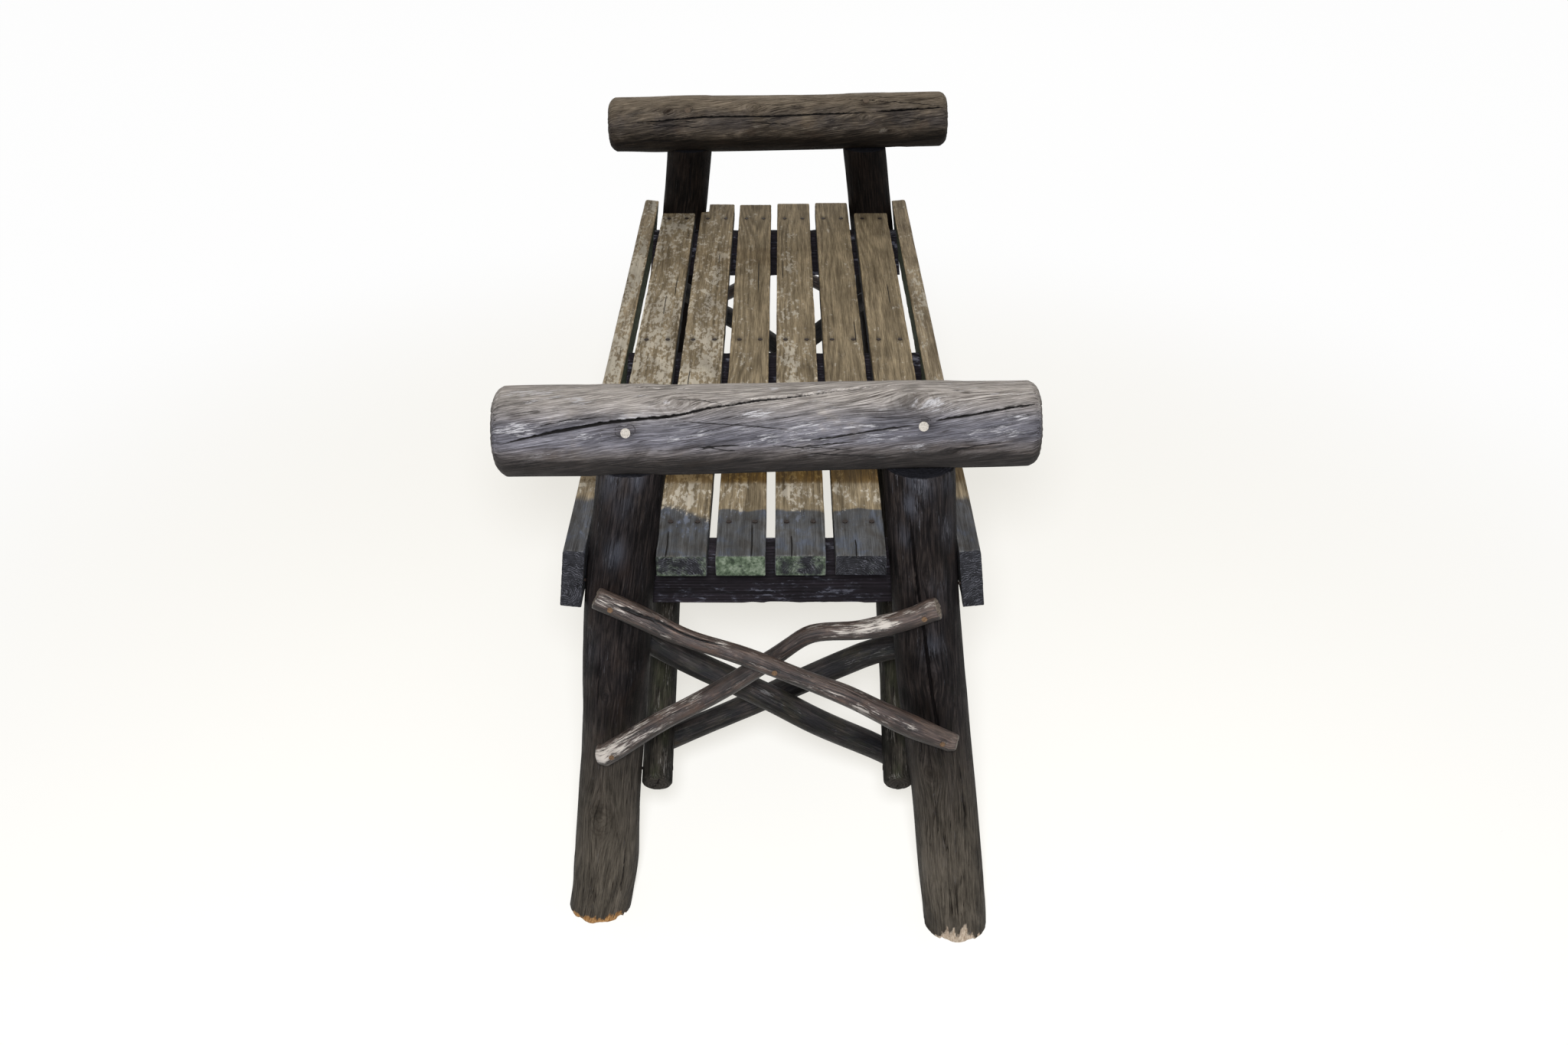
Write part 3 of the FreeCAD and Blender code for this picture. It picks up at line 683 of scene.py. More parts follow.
STOPS = (0.39, 0.49, 0.60)
FOOT_HEIGHT = 0.25
MOSS = (0.040, 0.052, 0.026)
CRACK_BLACK = (0.006, 0.005, 0.005)
OLD_BREAK = ((0.28, 0.115, 0.035), (0.60, 0.38, 0.20))


def log_wood(name, tones, bleach, bleach_share, tint, tint_share, warm, fleck, fleck_share, under_shade, seed,
             end_color, foot=None, rough=0.75, green=0.0, specular=0.2, torn=OLD_BREAK, contrast=1.0,
             smudge=None, sides=0.0, small=1.0, even=0.0):
    """Weathered round wood: fibres along the log, patches, flecks, cracks, knots and end grain."""
    g = material_graph(name)
    grain = g.attribute("grain", "Vector")
    pale, stain, heart = g.parts(g.attribute("marks", "Vector"))
    up = g.attribute("up")
    g.base = g.stretch(grain, (1, 1, 1), (seed, seed * 0.7, seed * 1.3))
    fibres = g.noise(1500.0, 4.0, 0.65, 0.0, (1, 1, 0.03))
    streaks = g.noise(460.0, 6.0, 0.68, 0.4, (1, 1, 0.06))
    bands = g.noise(75.0, 6.0, 0.64, 0.8, (1, 1, 0.26))
    patches = g.noise(20.0 * small, 6.0, 0.62, 0.5)
    other = g.noise(34.0 * small, 6.0, 0.62, 0.6, (1, 1, 0.5), (3.1, 1.7, 0.4))
    lines = g.wave(g.noise(62.0, 2.0, 0.5, 0.3, (1, 1, 0.045), (5.0, 2.0, 8.0)), 170.0)
    tone = g.add(lines, 0.022 * contrast, g.add(streaks, 0.6, g.times(bands, 0.4)))
    color = g.mix(g.span(other, 0.52, 0.68, 0.0, 0.6), g.ramp(tone, STOPS, tones), warm)
    top = g.span(g.add(bands, 1.1, up), 0.75, 1.55)
    color = g.mix(g.times(top, bleach_share), color, g.ramp(tone, STOPS, shades(bleach, 0.68, 1, 1.18)))
    blue = g.times(g.span(patches, 0.32 - even, 0.58 - even), g.span(up, 1.0, 0.45, 0.15, 1.0))
    blue = g.times(blue, g.span(g.add(bands, 0.4, up), 0.0, 0.42, 0.25, 1.0))
    color = g.mix(g.times(blue, tint_share), color, g.ramp(tone, STOPS, shades(tint, 0.58, 1, 1.5)))
    if foot:
        height = g.add(bands, FOOT_HEIGHT * 0.9, g.parts(grain)[2])
        low = g.span(height, FOOT_HEIGHT * 1.75, FOOT_HEIGHT * 0.75)
        foot_tone = g.add(bands, 0.55, g.times(streaks, 0.45))
        color = g.mix(low, color, g.ramp(foot_tone, (0.38, 0.62), foot))
    if green:
        color = g.mix(g.times(g.span(other, 0.45, 0.62), green), color, MOSS)
    # Fine dark fibres and hair cracks
    color = g.shade(g.span(fibres, 0.40, 0.58, 0.75 * contrast, 0.0), color, (0.36, 0.34, 0.33))
    crisp = g.noise(900.0, 4.0, 0.66, 0.1, (1, 1, 0.045), (2.5, 7.5, 3.5))
    color = g.shade(g.span(crisp, 0.38, 0.50, 0.62 * contrast, 0.0), color, (0.42, 0.40, 0.39))
    color = g.shade(g.span(crisp, 0.53, 0.68, 0.0, 0.60 * contrast), color, (1.8, 1.8, 1.8))
    hair = g.noise(240.0, 2.0, 0.5, 0.2, (1, 1, 0.022), (4.0, 6.0, 2.0))
    hair = g.span(g.math("ABSOLUTE", g.math("SUBTRACT", hair, 0.5)), 0.018, 0.004)
    hair = g.times(hair, g.span(patches, 0.42, 0.54, 0.1, 0.9))
    color = g.shade(hair, color, (0.16, 0.14, 0.13))
    # Pale flecks where old surface flakes
    if smudge:
        cloud = g.add(other, 0.5, g.add(streaks, 0.3, g.times(fibres, 0.2)))
        color = g.mix(g.times(pale, g.span(cloud, 0.43, 0.57, 0.0, 0.9)), color, smudge)
    thin = g.noise(950.0, 6.0, 0.72, 0.3, (1, 1, 0.085), (0.7, 2.2, 5.0))
    broad = g.noise(120.0, 6.0, 0.66, 0.6, (1, 1, 0.18), (9.0, 4.0, 1.0))
    cover = g.add(pale, 0.088, g.add(broad, 0.58, g.times(thin, 0.66)))
    flecks = g.times(g.span(cover, 0.715, 0.80), fleck_share)
    color = g.mix(flecks, color, fleck)
    # Knots: turned grain with a dark heart
    knot = g.attribute("knot")
    wobble = g.noise(160.0, 3.0)
    rings = g.wave(g.add(wobble, 0.8, knot), 15.0)
    ringed = g.times(g.span(rings, 0.0, 1.0), g.span(knot, 1.5, 0.6, 0.0, 0.40))
    color = g.shade(ringed, color, (0.40, 0.36, 0.33))
    color = g.mix(heart, color, (tones[0][0] * 0.5, tones[0][1] * 0.4, tones[0][2] * 0.35))
    # Painted shade on the faces turned away from the ends of the bench
    if sides:
        away = g.add(bands, 0.4, g.attribute("facing"))
        color = g.shade(g.span(away, 0.85, 0.35, 0.0, sides), color, (0.22, 0.21, 0.22))
    # Painted shade underneath, painted shade in the dark smudges, and the stain round the nails
    color = g.shade(g.span(g.add(bands, 0.5, up), 0.34, -0.16, 0.0, under_shade), color, (0.15, 0.138, 0.128))
    # The stain holds the nail stain and the painted shade of the dark smudges
    color = g.shade(g.times(stain, 0.62), color, (0.20, 0.17, 0.16))
    # End grain, broken ends and cracks
    ring = g.wave(g.add(wobble, 0.0016, g.size(g.stretch(grain, (1, 1, 0)))), 2100.0)
    end_mix = g.ramp(g.add(ring, 0.20, g.noise(300.0, 5.0, 0.7)), (0.25, 0.75), shades(end_color, 0.4, 1))
    color = g.mix(g.span(g.attribute("cap"), 0.35, 0.9), color, end_mix)
    broken = g.noise(700.0, 5.0, 0.7, 0.0, (1, 1, 0.25))
    color = g.mix(g.attribute("fresh"), color, g.ramp(broken, (0.36, 0.60), torn))
    color = g.mix(g.span(g.add(wobble, 0.0004, g.attribute("crack")), 0.0006, 0.0001), color, CRACK_BLACK)
    height = g.math("ADD", g.times(fibres, 0.5), g.times(streaks, 0.7))
    for part, share in ((thin, 0.5), (lines, 0.035), (hair, -0.35), (flecks, 0.15)):
        height = g.add(part, share, height)
    return g.finish(color, g.span(patches, 0.3, 0.7, rough - 0.1, rough + 0.1), height, 0.0009, specular)


RING_PITCH = 0.0034
ARC_PITCH = 0.0021
LICHEN = ((0.030, 0.042, 0.026), (0.085, 0.112, 0.072), (0.180, 0.212, 0.155))


def board_wood(name, dark, light, paint, end_color, seed, damp_and_shade_color, rough=0.8):
    """Sawn board: growth rings cut lengthwise, old paint worn off in flakes, algae towards the ends."""
    g = material_graph(name)
    g.base = g.stretch(g.attribute("grain", "Vector"), (1, 1, 1), (seed, seed * 0.3, seed * 0.7))
    tan, stain, arris = g.parts(g.attribute("marks", "Vector"))
    paint_share, damp_and_shade, algae = g.parts(g.attribute("worn", "Vector"))
    fibres = g.noise(1500.0, 4.0, 0.65, 0.0, (1, 0.02, 1))
    streaks = g.noise(260.0, 6.0, 0.65, 0.3, (1, 0.025, 1))
    patches = g.noise(30.0, 6.0, 0.62, 0.4, (1, 0.35, 1))
    ring = g.wave(g.add(streaks, 0.0030, g.attribute("ring")), 2 * math.pi / RING_PITCH)
    tone = g.math("ADD", g.times(ring, 0.058), g.add(streaks, 0.5, g.times(patches, 0.5)))
    color = g.ramp(tone, (0.34, 0.66), (dark, light))
    color = g.shade(g.span(fibres, 0.40, 0.58, 0.7, 0.0), color, (0.42, 0.40, 0.38))
    crisp = g.noise(950.0, 5.0, 0.68, 0.1, (1, 0.03, 1), (2.5, 7.5, 3.5))
    color = g.shade(g.span(crisp, 0.38, 0.50, 0.6, 0.0), color, (0.50, 0.47, 0.44))
    color = g.shade(g.span(crisp, 0.54, 0.68, 0.0, 0.6), color, (1.5, 1.5, 1.5))
    # Paint: large cover from the attribute, broken into flakes that follow the grain
    flake = g.noise(270.0, 7.0, 0.64, 0.2, (1, 0.38, 1), (2.0, 5.0, 1.0))
    blotch = g.noise(75.0, 6.0, 0.62, 0.4, (1, 0.40, 1), (7.0, 1.0, 3.0))
    cover = g.add(ring, 0.016, g.add(flake, 0.52, g.times(blotch, 0.48)))
    cover = g.add(fibres, 0.10, g.math("SUBTRACT", cover, 0.05))
    cover = g.math("ADD", cover, g.add(paint_share, 0.36, -0.18))
    solid = g.span(cover, 0.492, 0.512, 0.0, 0.92)
    painted = g.math("MAXIMUM", solid, g.span(cover, 0.430, 0.500, 0.0, 0.20))
    paint_tone = g.span(g.add(patches, 0.6, g.times(streaks, 0.4)), 0.38, 0.62)
    color = g.mix(painted, color, g.mix(paint_tone, *shades(paint, 0.62, 1)))
    # Damp and painted shade, most at the near ends under the near arm, and algae towards the ends
    wet_and_shaded = g.ramp(g.add(fibres, 0.5, g.times(blotch, 0.5)), (0.34, 0.62), shades(damp_and_shade_color, 0.55, 1.5))
    wet_and_shaded = g.mix(0.66, wet_and_shaded, g.mix(1.0, color, (0.255, 0.35, 0.62), "MULTIPLY"))
    cloud = g.noise(55.0, 6.0, 0.64, 0.4, (1, 0.6, 1), (6.0, 2.0, 4.0))
    wet_and_shaded = g.shade(g.span(cloud, 0.50, 0.66, 0.0, 0.75), wet_and_shaded, (1.05, 1.22, 1.55))
    wet_and_shaded = g.shade(g.span(cloud, 0.50, 0.36, 0.0, 0.75), wet_and_shaded, (0.66, 0.60, 0.54))
    edge = g.add(blotch, 0.5, g.add(solid, -0.22, damp_and_shade))
    color = g.mix(g.span(edge, 0.45, 0.80, 0.0, 0.93), color, wet_and_shaded)
    speckle = g.noise(170.0, 6.0, 0.66, 0.0, (1, 0.6, 1), (3.0, 8.0, 2.0))
    lichen = g.ramp(speckle, (0.37, 0.50, 0.63), LICHEN)
    spread = g.math("ADD", g.times(blotch, 1.2), g.add(speckle, 0.5, algae))
    color = g.mix(g.span(spread, 1.30, 1.70, 0.0, 0.85), color, lichen)
    # Sawn end
    sawn = g.noise(150.0, 6.0, 0.62, 0.0, (0.7, 1, 0.7))
    arcs = g.wave(g.add(sawn, 0.012, g.attribute("ring")), 2 * math.pi / ARC_PITCH)
    arcs = g.times(g.span(arcs, 0.45, 0.95), g.span(speckle, 0.44, 0.56, 0.1, 0.7))
    end_mix = g.mix(arcs, g.ramp(sawn, (0.36, 0.62), shades(end_color, 0.35, 1.3)), shades(end_color, 6.5)[0])
    end_mix = g.mix(g.span(spread, 1.15, 1.65, 0.0, 0.9), end_mix, lichen)
    color = g.mix(g.span(g.attribute("cap"), 0.5, 0.9), color, end_mix)
    # Rust round the nails, tan stains with the painted shadow of the near arm, worn edges and cracks
    color = g.mix(g.times(stain, g.span(flake, 0.3, 0.6, 0.4, 0.9)), color, (0.020, 0.015, 0.012))
    color = g.shade(g.times(tan, g.span(blotch, 0.35, 0.50, 0.88, 1.0)), color, (0.43, 0.295, 0.080))
    color = g.shade(g.times(arris, g.span(flake, 0.44, 0.56, 0.0, 0.75)), color, (1.9, 1.85, 1.75))
    color = g.mix(g.span(g.attribute("crack"), 0.0005, 0.0), color, (0.008, 0.007, 0.006))
    height = g.math("ADD", g.times(fibres, 0.45), g.times(streaks, 0.6))
    height = g.add(solid, 0.14, g.add(ring, 0.12, height))
    return g.finish(color, g.span(painted, 0.0, 1.0, rough, rough - 0.12), height, 0.0007, 0.10)


def metal(name, color, rust, rough):
    g = material_graph(name)
    g.base = g.node("TexCoord").outputs["Object"]
    spots = g.noise(900.0, 5.0, 0.65)
    color = g.mix(g.span(spots, 0.4, 0.62), color, rust)
    return g.finish(color, g.span(spots, 0.3, 0.7, rough - 0.15, rough + 0.15), spots, 0.0003, 0.15)


def peg_wood(name, color):
    g = material_graph(name)
    g.base = g.node("TexCoord").outputs["Object"]
    spots = g.noise(1300.0, 5.0, 0.65)
    color = g.mix(g.span(spots, 0.35, 0.68), *shades(color, 0.5, 1))
    color = g.mix(g.span(g.noise(260.0, 3.0, 0.6), 0.5, 0.7, 0.0, 0.5), color, (0.10, 0.075, 0.06))
    return g.finish(color, g.span(spots, 0.3, 0.7, 0.6, 0.85), spots, 0.0003, 0.3)


# Colours of each kind of wood: the tones are dark, middle and light grain
ARM_WOOD = {
    "near": log_wood(
        "arm_near_wood", ((0.045, 0.037, 0.033), (0.120, 0.102, 0.092), (0.250, 0.218, 0.195)),
        (0.44, 0.405, 0.370), 0.80, (0.118, 0.120, 0.150), 0.74, (0.165, 0.128, 0.100), (0.50, 0.49, 0.51),
        0.75, under_shade=0.95, seed=1.3, end_color=(0.11, 0.095, 0.08), contrast=0.9, even=0.12),
    "far": log_wood(
        "arm_far_wood", ((0.030, 0.023, 0.018), (0.092, 0.074, 0.056), (0.210, 0.170, 0.128)),
        (0.300, 0.245, 0.180), 0.75, (0.052, 0.050, 0.060), 0.5, (0.120, 0.085, 0.060), (0.36, 0.32, 0.27),
        0.5, under_shade=1.0, seed=7.7, end_color=(0.10, 0.085, 0.07), specular=0.1),
}
NEAR_LEG_LOOK = dict(
    tones=((0.0018, 0.0015, 0.0016), (0.0125, 0.0098, 0.0094), (0.046, 0.036, 0.032)),
    bleach=(0.030, 0.028, 0.030), bleach_share=0.15, tint=(0.0095, 0.0095, 0.0125), tint_share=0.5,
    warm=(0.026, 0.0160, 0.0120), fleck=(0.115, 0.115, 0.130), fleck_share=0.5, under_shade=0.0,
    foot=((0.040, 0.034, 0.0265), (0.160, 0.136, 0.106)), rough=0.6, end_color=(0.020, 0.020, 0.025),
    specular=0.06, smudge=(0.056, 0.059, 0.072), contrast=0.7, sides=0.85)
LEFT_BREAK = ((0.22, 0.085, 0.022), (0.62, 0.36, 0.15))
RIGHT_BREAK = ((0.34, 0.24, 0.16), (0.74, 0.62, 0.49))
LEG_WOOD = {
    ("near", "left"): log_wood("leg_near_left_wood", seed=4.1, torn=LEFT_BREAK, **NEAR_LEG_LOOK),
    ("near", "right"): log_wood("leg_near_right_wood", seed=6.3, torn=RIGHT_BREAK, **NEAR_LEG_LOOK),
}
LEG_WOOD["far", "left"] = LEG_WOOD["far", "right"] = log_wood(
    "leg_far_wood", ((0.0012, 0.0010, 0.0009), (0.0060, 0.0042, 0.0034), (0.022, 0.015, 0.011)),
    (0.030, 0.025, 0.02), 0.15, (0.006, 0.0055, 0.006), 0.4, (0.014, 0.0085, 0.006), (0.09, 0.085, 0.08),
    0.25, under_shade=0.0, foot=((0.018, 0.015, 0.012), (0.085, 0.070, 0.054)), rough=0.65, seed=9.9,
    end_color=(0.020, 0.020, 0.025), specular=0.05, contrast=0.8, sides=0.5)
BRACE = log_wood(
    "brace_wood", ((0.005, 0.0042, 0.0038), (0.024, 0.0200, 0.0170), (0.095, 0.082, 0.066)),
    (0.080, 0.070, 0.056), 0.45, (0.020, 0.024, 0.020), 0.5, (0.052, 0.036, 0.024), (0.36, 0.34, 0.31), 0.75,
    under_shade=0.5, rough=0.65, seed=2.6, end_color=(0.05, 0.042, 0.035), green=0.45, specular=0.1, sides=0.7)
OUTER_STICK = log_wood(
    "outer_branch_wood", ((0.011, 0.0070, 0.0060), (0.050, 0.032, 0.025), (0.160, 0.110, 0.086)),
    (0.160, 0.118, 0.096), 0.36, (0.030, 0.026, 0.031), 0.55, (0.112, 0.056, 0.034), (0.56, 0.51, 0.46), 0.85,
    under_shade=0.85, rough=0.42, seed=5.5, end_color=(0.20, 0.16, 0.12), specular=0.36, small=2.4)
INNER_STICK = log_wood(
    "inner_branch_wood", ((0.0026, 0.0022, 0.0026), (0.0125, 0.0098, 0.0094), (0.060, 0.046, 0.040)),
    (0.052, 0.044, 0.042), 0.35, (0.011, 0.013, 0.018), 0.55, (0.056, 0.029, 0.018), (0.22, 0.21, 0.21), 0.55,
    under_shade=0.6, rough=0.5, seed=3.2, end_color=(0.04, 0.034, 0.028), green=0.20, specular=0.2, small=2.0)
SLAT = board_wood(
    "slat_wood", (0.120, 0.092, 0.054), (0.40, 0.322, 0.208), (0.53, 0.475, 0.385),
    (0.016, 0.016, 0.0185), seed=1.0, damp_and_shade_color=(0.070, 0.074, 0.082))
RAIL = board_wood(
    "rail_wood", (0.135, 0.104, 0.065), (0.44, 0.36, 0.245), (0.53, 0.48, 0.39),
    (0.019, 0.019, 0.022), seed=6.0, damp_and_shade_color=(0.040, 0.040, 0.042))
BEARER = board_wood(
    "bearer_wood", (0.0050, 0.0042, 0.0052), (0.027, 0.0215, 0.0275), (0.105, 0.105, 0.130),
    (0.03, 0.026, 0.022), seed=8.0, damp_and_shade_color=(0.010, 0.010, 0.011))
NAIL = metal("nail_steel", (0.009, 0.0075, 0.0072), (0.026, 0.014, 0.009), 0.7)
STICK_NAIL = metal("stick_nail_steel", (0.17, 0.105, 0.058), (0.075, 0.042, 0.024), 0.5)
PEG = peg_wood("peg_wood", (0.50, 0.46, 0.41))
PEG_FAR = peg_wood("peg_far_wood", (0.155, 0.115, 0.082))

for name in NAIL_GROUPS + ["arm_pegs_near", "arm_pegs_far"]:
    if "nails" in name:
        material = STICK_NAIL if "cross" in name else NAIL
    else:
        material = PEG_FAR if name.endswith("far") else PEG
    nodes[name].data.materials.clear()
    nodes[name].data.materials.append(material)


# Pale spots on the round pieces: place in the picture, size and strength; below zero it is a dark smudge of
# painted shade, where the branches cast shade on the legs and on each other
SPOTS = {
    "arm_log_near": (
        (676, 560, 0.014, 1.0), (682, 516, 0.016, 0.8), (824, 552, 0.012, 0.9), (880, 560, 0.012, 0.7),
        (920, 568, 0.010, 0.9), (984, 548, 0.012, 1.1), (1004, 570, 0.006, 1.2), (1052, 564, 0.012, 0.9),
        (1052, 582, 0.008, 0.8), (1124, 534, 0.008, 0.7), (1148, 568, 0.010, 1.0), (1172, 566, 0.009, 1.0),
        (1196, 584, 0.010, 0.9), (1222, 534, 0.011, 1.1), (1276, 564, 0.012, 0.9), (1316, 568, 0.012, 0.9),
        (1328, 548, 0.010, 0.8), (1256, 508, 0.010, 0.7), (1011, 507, 0.003, 1.6), (740, 520, 0.012, 0.6),
        (930, 545, 0.012, 0.6), (1080, 540, 0.010, 0.6), (770, 575, 0.010, 0.5), (700, 600, 0.010, 0.5)),
    "arm_log_far": (
        (1153, 171, 0.005, 1.8), (900, 160, 0.010, 0.7), (1000, 158, 0.012, 0.7), (1090, 160, 0.010, 0.7),
        (1200, 150, 0.012, 0.6)),
    "leg_near_left": (
        (800, 626, 0.010, 0.98), (832, 628, 0.008, 0.83), (802, 722, 0.009, 1), (815, 660, 0.010, 0.45),
        (790, 640, 0.008, 0.52), (770, 850, 0.012, 0.3), (838, 800, 0.016, -1.2), (835, 850, 0.016, -1.4),
        (828, 910, 0.016, -1.3), (795, 935, 0.012, -1.1), (800, 805, 0.014, -1.0), (840, 700, 0.014, -1.0),
        (765, 795, 0.010, -0.9)),
    "leg_near_right": (
        (1200, 620, 0.014, 0.9), (1240, 625, 0.010, 0.68), (1189, 659, 0.009, 0.9), (1227, 765, 0.008, 0.9),
        (1215, 845, 0.012, 0.68), (1240, 690, 0.010, 0.45), (1180, 700, 0.008, 0.52),
        (1180, 800, 0.014, -1.1), (1190, 870, 0.016, -1.3), (1200, 925, 0.016, -1.4),
        (1225, 935, 0.012, -1.1), (1215, 985, 0.010, -0.9), (1225, 720, 0.012, -0.9),
        (1240, 830, 0.010, -0.9)),
    "outer_branch_rising_near": (
        (785, 990, 0.014, 1.8), (806, 972, 0.014, 1.9), (832, 954, 0.012, 1.7), (868, 932, 0.010, 1.2),
        (903, 913, 0.010, 1.1), (1062, 820, 0.005, 0.7), (1102, 824, 0.010, 1.5), (1130, 818, 0.013, 2.2),
        (945, 888, 0.012, -1.2), (968, 874, 0.012, -1.5), (1046, 838, 0.012, -1.3), (1062, 834, 0.008, -0.9),
        (1012, 850, 0.012, -1.3), (1085, 836, 0.006, -1.0), (1112, 834, 0.006, -0.8), (1155, 810, 0.012, 2.2),
        (1186, 800, 0.010, 1.2), (1216, 788, 0.008, 1.0)),
    "outer_branch_falling_near": (
        (800, 782, 0.008, 0.8), (822, 790, 0.010, 1.1), (862, 806, 0.009, 0.9), (905, 822, 0.010, 0.8),
        (948, 840, 0.009, 1.2), (985, 858, 0.008, 0.7), (1090, 905, 0.008, 0.9), (1128, 930, 0.010, 1.1),
        (1160, 946, 0.008, 1.1), (1185, 948, 0.008, 0.9), (1230, 970, 0.010, 0.9), (975, 862, 0.007, -0.9),
        (1040, 892, 0.006, -1.0), (1150, 950, 0.007, -0.8)),
    "inner_branch_falling_near": ((1000, 908, 0.010, 1.1), (1040, 935, 0.010, 0.8)),
    "inner_branch_rising_near": ((1150, 850, 0.012, 1.0), (1110, 870, 0.010, 0.7)),
    "knee_brace_near_left": ((880, 820, 0.012, 1.0), (872, 880, 0.012, 0.8), (868, 1000, 0.010, 0.9)),
    "knee_brace_near_right": ((1160, 960, 0.010, 1.0), (1152, 860, 0.010, 0.7), (1165, 1010, 0.010, 0.8)),
}
# Cracks: line in the picture, width and depth
CRACKS = {
    "arm_log_near": (
        (((648, 582), (703, 569), (757, 557.5), (799, 551), (837, 547), (870, 544), (891, 540), (920, 533),
          (953, 527.5), (987, 522), (1020, 519), (1057, 514), (1099, 509), (1141, 505), (1176, 502.5)),
         0.0024, 0.008),
        (((1057, 575), (1087, 572), (1112, 568), (1145, 562), (1178, 557.5), (1195, 555.3)), 0.0012, 0.003),
        (((1220, 550.3), (1245, 545), (1270, 541), (1303, 534.6), (1328, 530), (1356, 527)), 0.0018, 0.006),
        (((907, 586), (940, 583), (968, 582)), 0.0009, 0.002),
        (((1040, 585), (1085, 580), (1120, 577)), 0.0009, 0.002),
        (((700, 558), (745, 548), (780, 545)), 0.0007, 0.0015),
        (((1232, 590), (1275, 583), (1310, 578)), 0.0008, 0.0018)),
    "arm_log_far": (
        (((824, 160), (855, 158.7), (885, 155.5), (905, 153.7), (935, 152), (970, 152), (1005, 151.7),
          (1042, 150), (1080, 148), (1117, 147.5), (1144, 146.5)), 0.0020, 0.006),
        (((1144, 145), (1170, 143.7), (1192, 142), (1234, 139.5)), 0.0026, 0.008),
        (((815, 190), (850, 184), (885, 186)), 0.0009, 0.002)),
    "leg_near_left": ((((783, 858), (781, 885), (780, 921)), 0.0010, 0.003),),
    "leg_near_right": (
        (((1187, 668), (1189, 688), (1193, 723), (1197.6, 764), (1201, 790), (1205, 815), (1210, 850),
          (1213, 873), (1217, 907), (1224, 945), (1232, 990)), 0.0026, 0.008),
        (((1213, 640), (1215, 665), (1216, 700)), 0.0008, 0.002)),
    "leg_far_left": ((((903, 203), (902, 225), (901, 262)), 0.0024, 0.006),),
    "outer_branch_falling_near": (
        (((800, 789), (833, 803), (863, 812), (893, 827), (920, 837), (947, 843)), 0.0026, 0.004),
        (((815, 792), (845, 806), (870, 822)), 0.0009, 0.002),
        (((1010, 872), (1060, 892), (1120, 915)), 0.0006, 0.0012)),
    "outer_branch_rising_near": ((((800, 975), (850, 947), (900, 922)), 0.0006, 0.0012),),
    "inner_branch_falling_near": ((((990, 912), (1030, 935), (1080, 956)), 0.0007, 0.0015),),
}
# Knots: place in the picture, size, rise and how dark the heart is
KNOTS = {
    "arm_log_near": (
        (1199, 524, 0.017, 0.0010, 0.25), (887, 527, 0.013, 0.0008, 0.2), (1245, 590, 0.007, 0.0006, 0.4)),
    "arm_log_far": (
        (1128, 153, 0.008, 0.0006, 0.4), (1160, 171, 0.006, -0.0014, 0.9), (985, 140, 0.012, 0.0008, 0.3),
        (873, 145, 0.008, 0.0010, 0.8), (1152, 133, 0.006, 0.0008, 0.5)),
    "leg_near_left": ((791, 908, 0.006, 0.0008, 0.2), (783, 1072, 0.014, 0.0004, 0.1)),
    "leg_near_right": ((1215, 1012, 0.011, 0.0010, 0.5),),
}
# Swellings and hollows: place in the picture, size and rise
BUMPS = {
    "outer_branch_falling_near": (
        (1150, 944, 0.006, 0.0014), (1176, 953, 0.006, 0.0012), (1110, 918, 0.007, 0.0010),
        (860, 806, 0.006, 0.0008)),
    "outer_branch_rising_near": (
        (1075, 815, 0.009, 0.0018), (1100, 828, 0.007, -0.0012), (1228, 783, 0.005, 0.0010),
        (900, 912, 0.006, 0.0006)),
    "inner_branch_rising_near": ((1105, 866, 0.010, 0.0012),),
}
# Broken places along the foot of a leg: place in the picture, width, height and depth
CHIPS = {
    "leg_near_left": (
        (776, 1190, 0.040, 0.0105, 0.0040), (806, 1188, 0.036, 0.0135, 0.0045),
        (757, 1185, 0.030, 0.0085, 0.0030)),
    "leg_near_right": (
        (1250, 1215, 0.040, 0.0190, 0.0050), (1226, 1212, 0.016, 0.0050, 0.0020),
        (1274, 1210, 0.018, 0.0070, 0.0025)),
}


def seed_of(name):
    return sum(map(ord, name))


def by_end(end, near, far):
    """The near end is closest to the picture's camera and has finer meshes."""
    return near if end == "near" else far


# Arm logs, legs, branches and braces at both ends
ENDS = ("near", "far")
SIDES = ("left", "right")

# Arm logs. They rise by this slope from left to right
ARM_SLOPE = math.tan(math.radians(1.0))
ARM_HALF = 0.24
for end in ENDS:
    name = "arm_log_" + end
    low, high = box_of(name)
    middle = (low + high) / 2
    along = unit((1.0, 0.0, ARM_SLOPE))
    tube = Tube(name, middle - along * ARM_HALF, middle + along * ARM_HALF, first_normal=along)
    cracks = cracks_on(tube, np.random.default_rng(by_end(end, 11, 12)), 16, 0.10, 0.0008, 0.10)
    knots = ((tube.length * 0.3, math.radians(150), 0.015, 0.0012, 0.4),
             (tube.length * 0.68, math.radians(200), 0.013, 0.0010, 0.6))
    log(tube, ARM_WOOD[end], by_end(end, 400, 300), by_end(end, 0.0013, 0.0018),
        by_end(end, 21, 22), cracks, heads_on(tube, ["arm_pegs_" + end]), rounds=(0.0075, 0.0075),
        spiral=-0.14, lumps=0.0011, grain=0.00025, cap_rows=26, knots=knots)

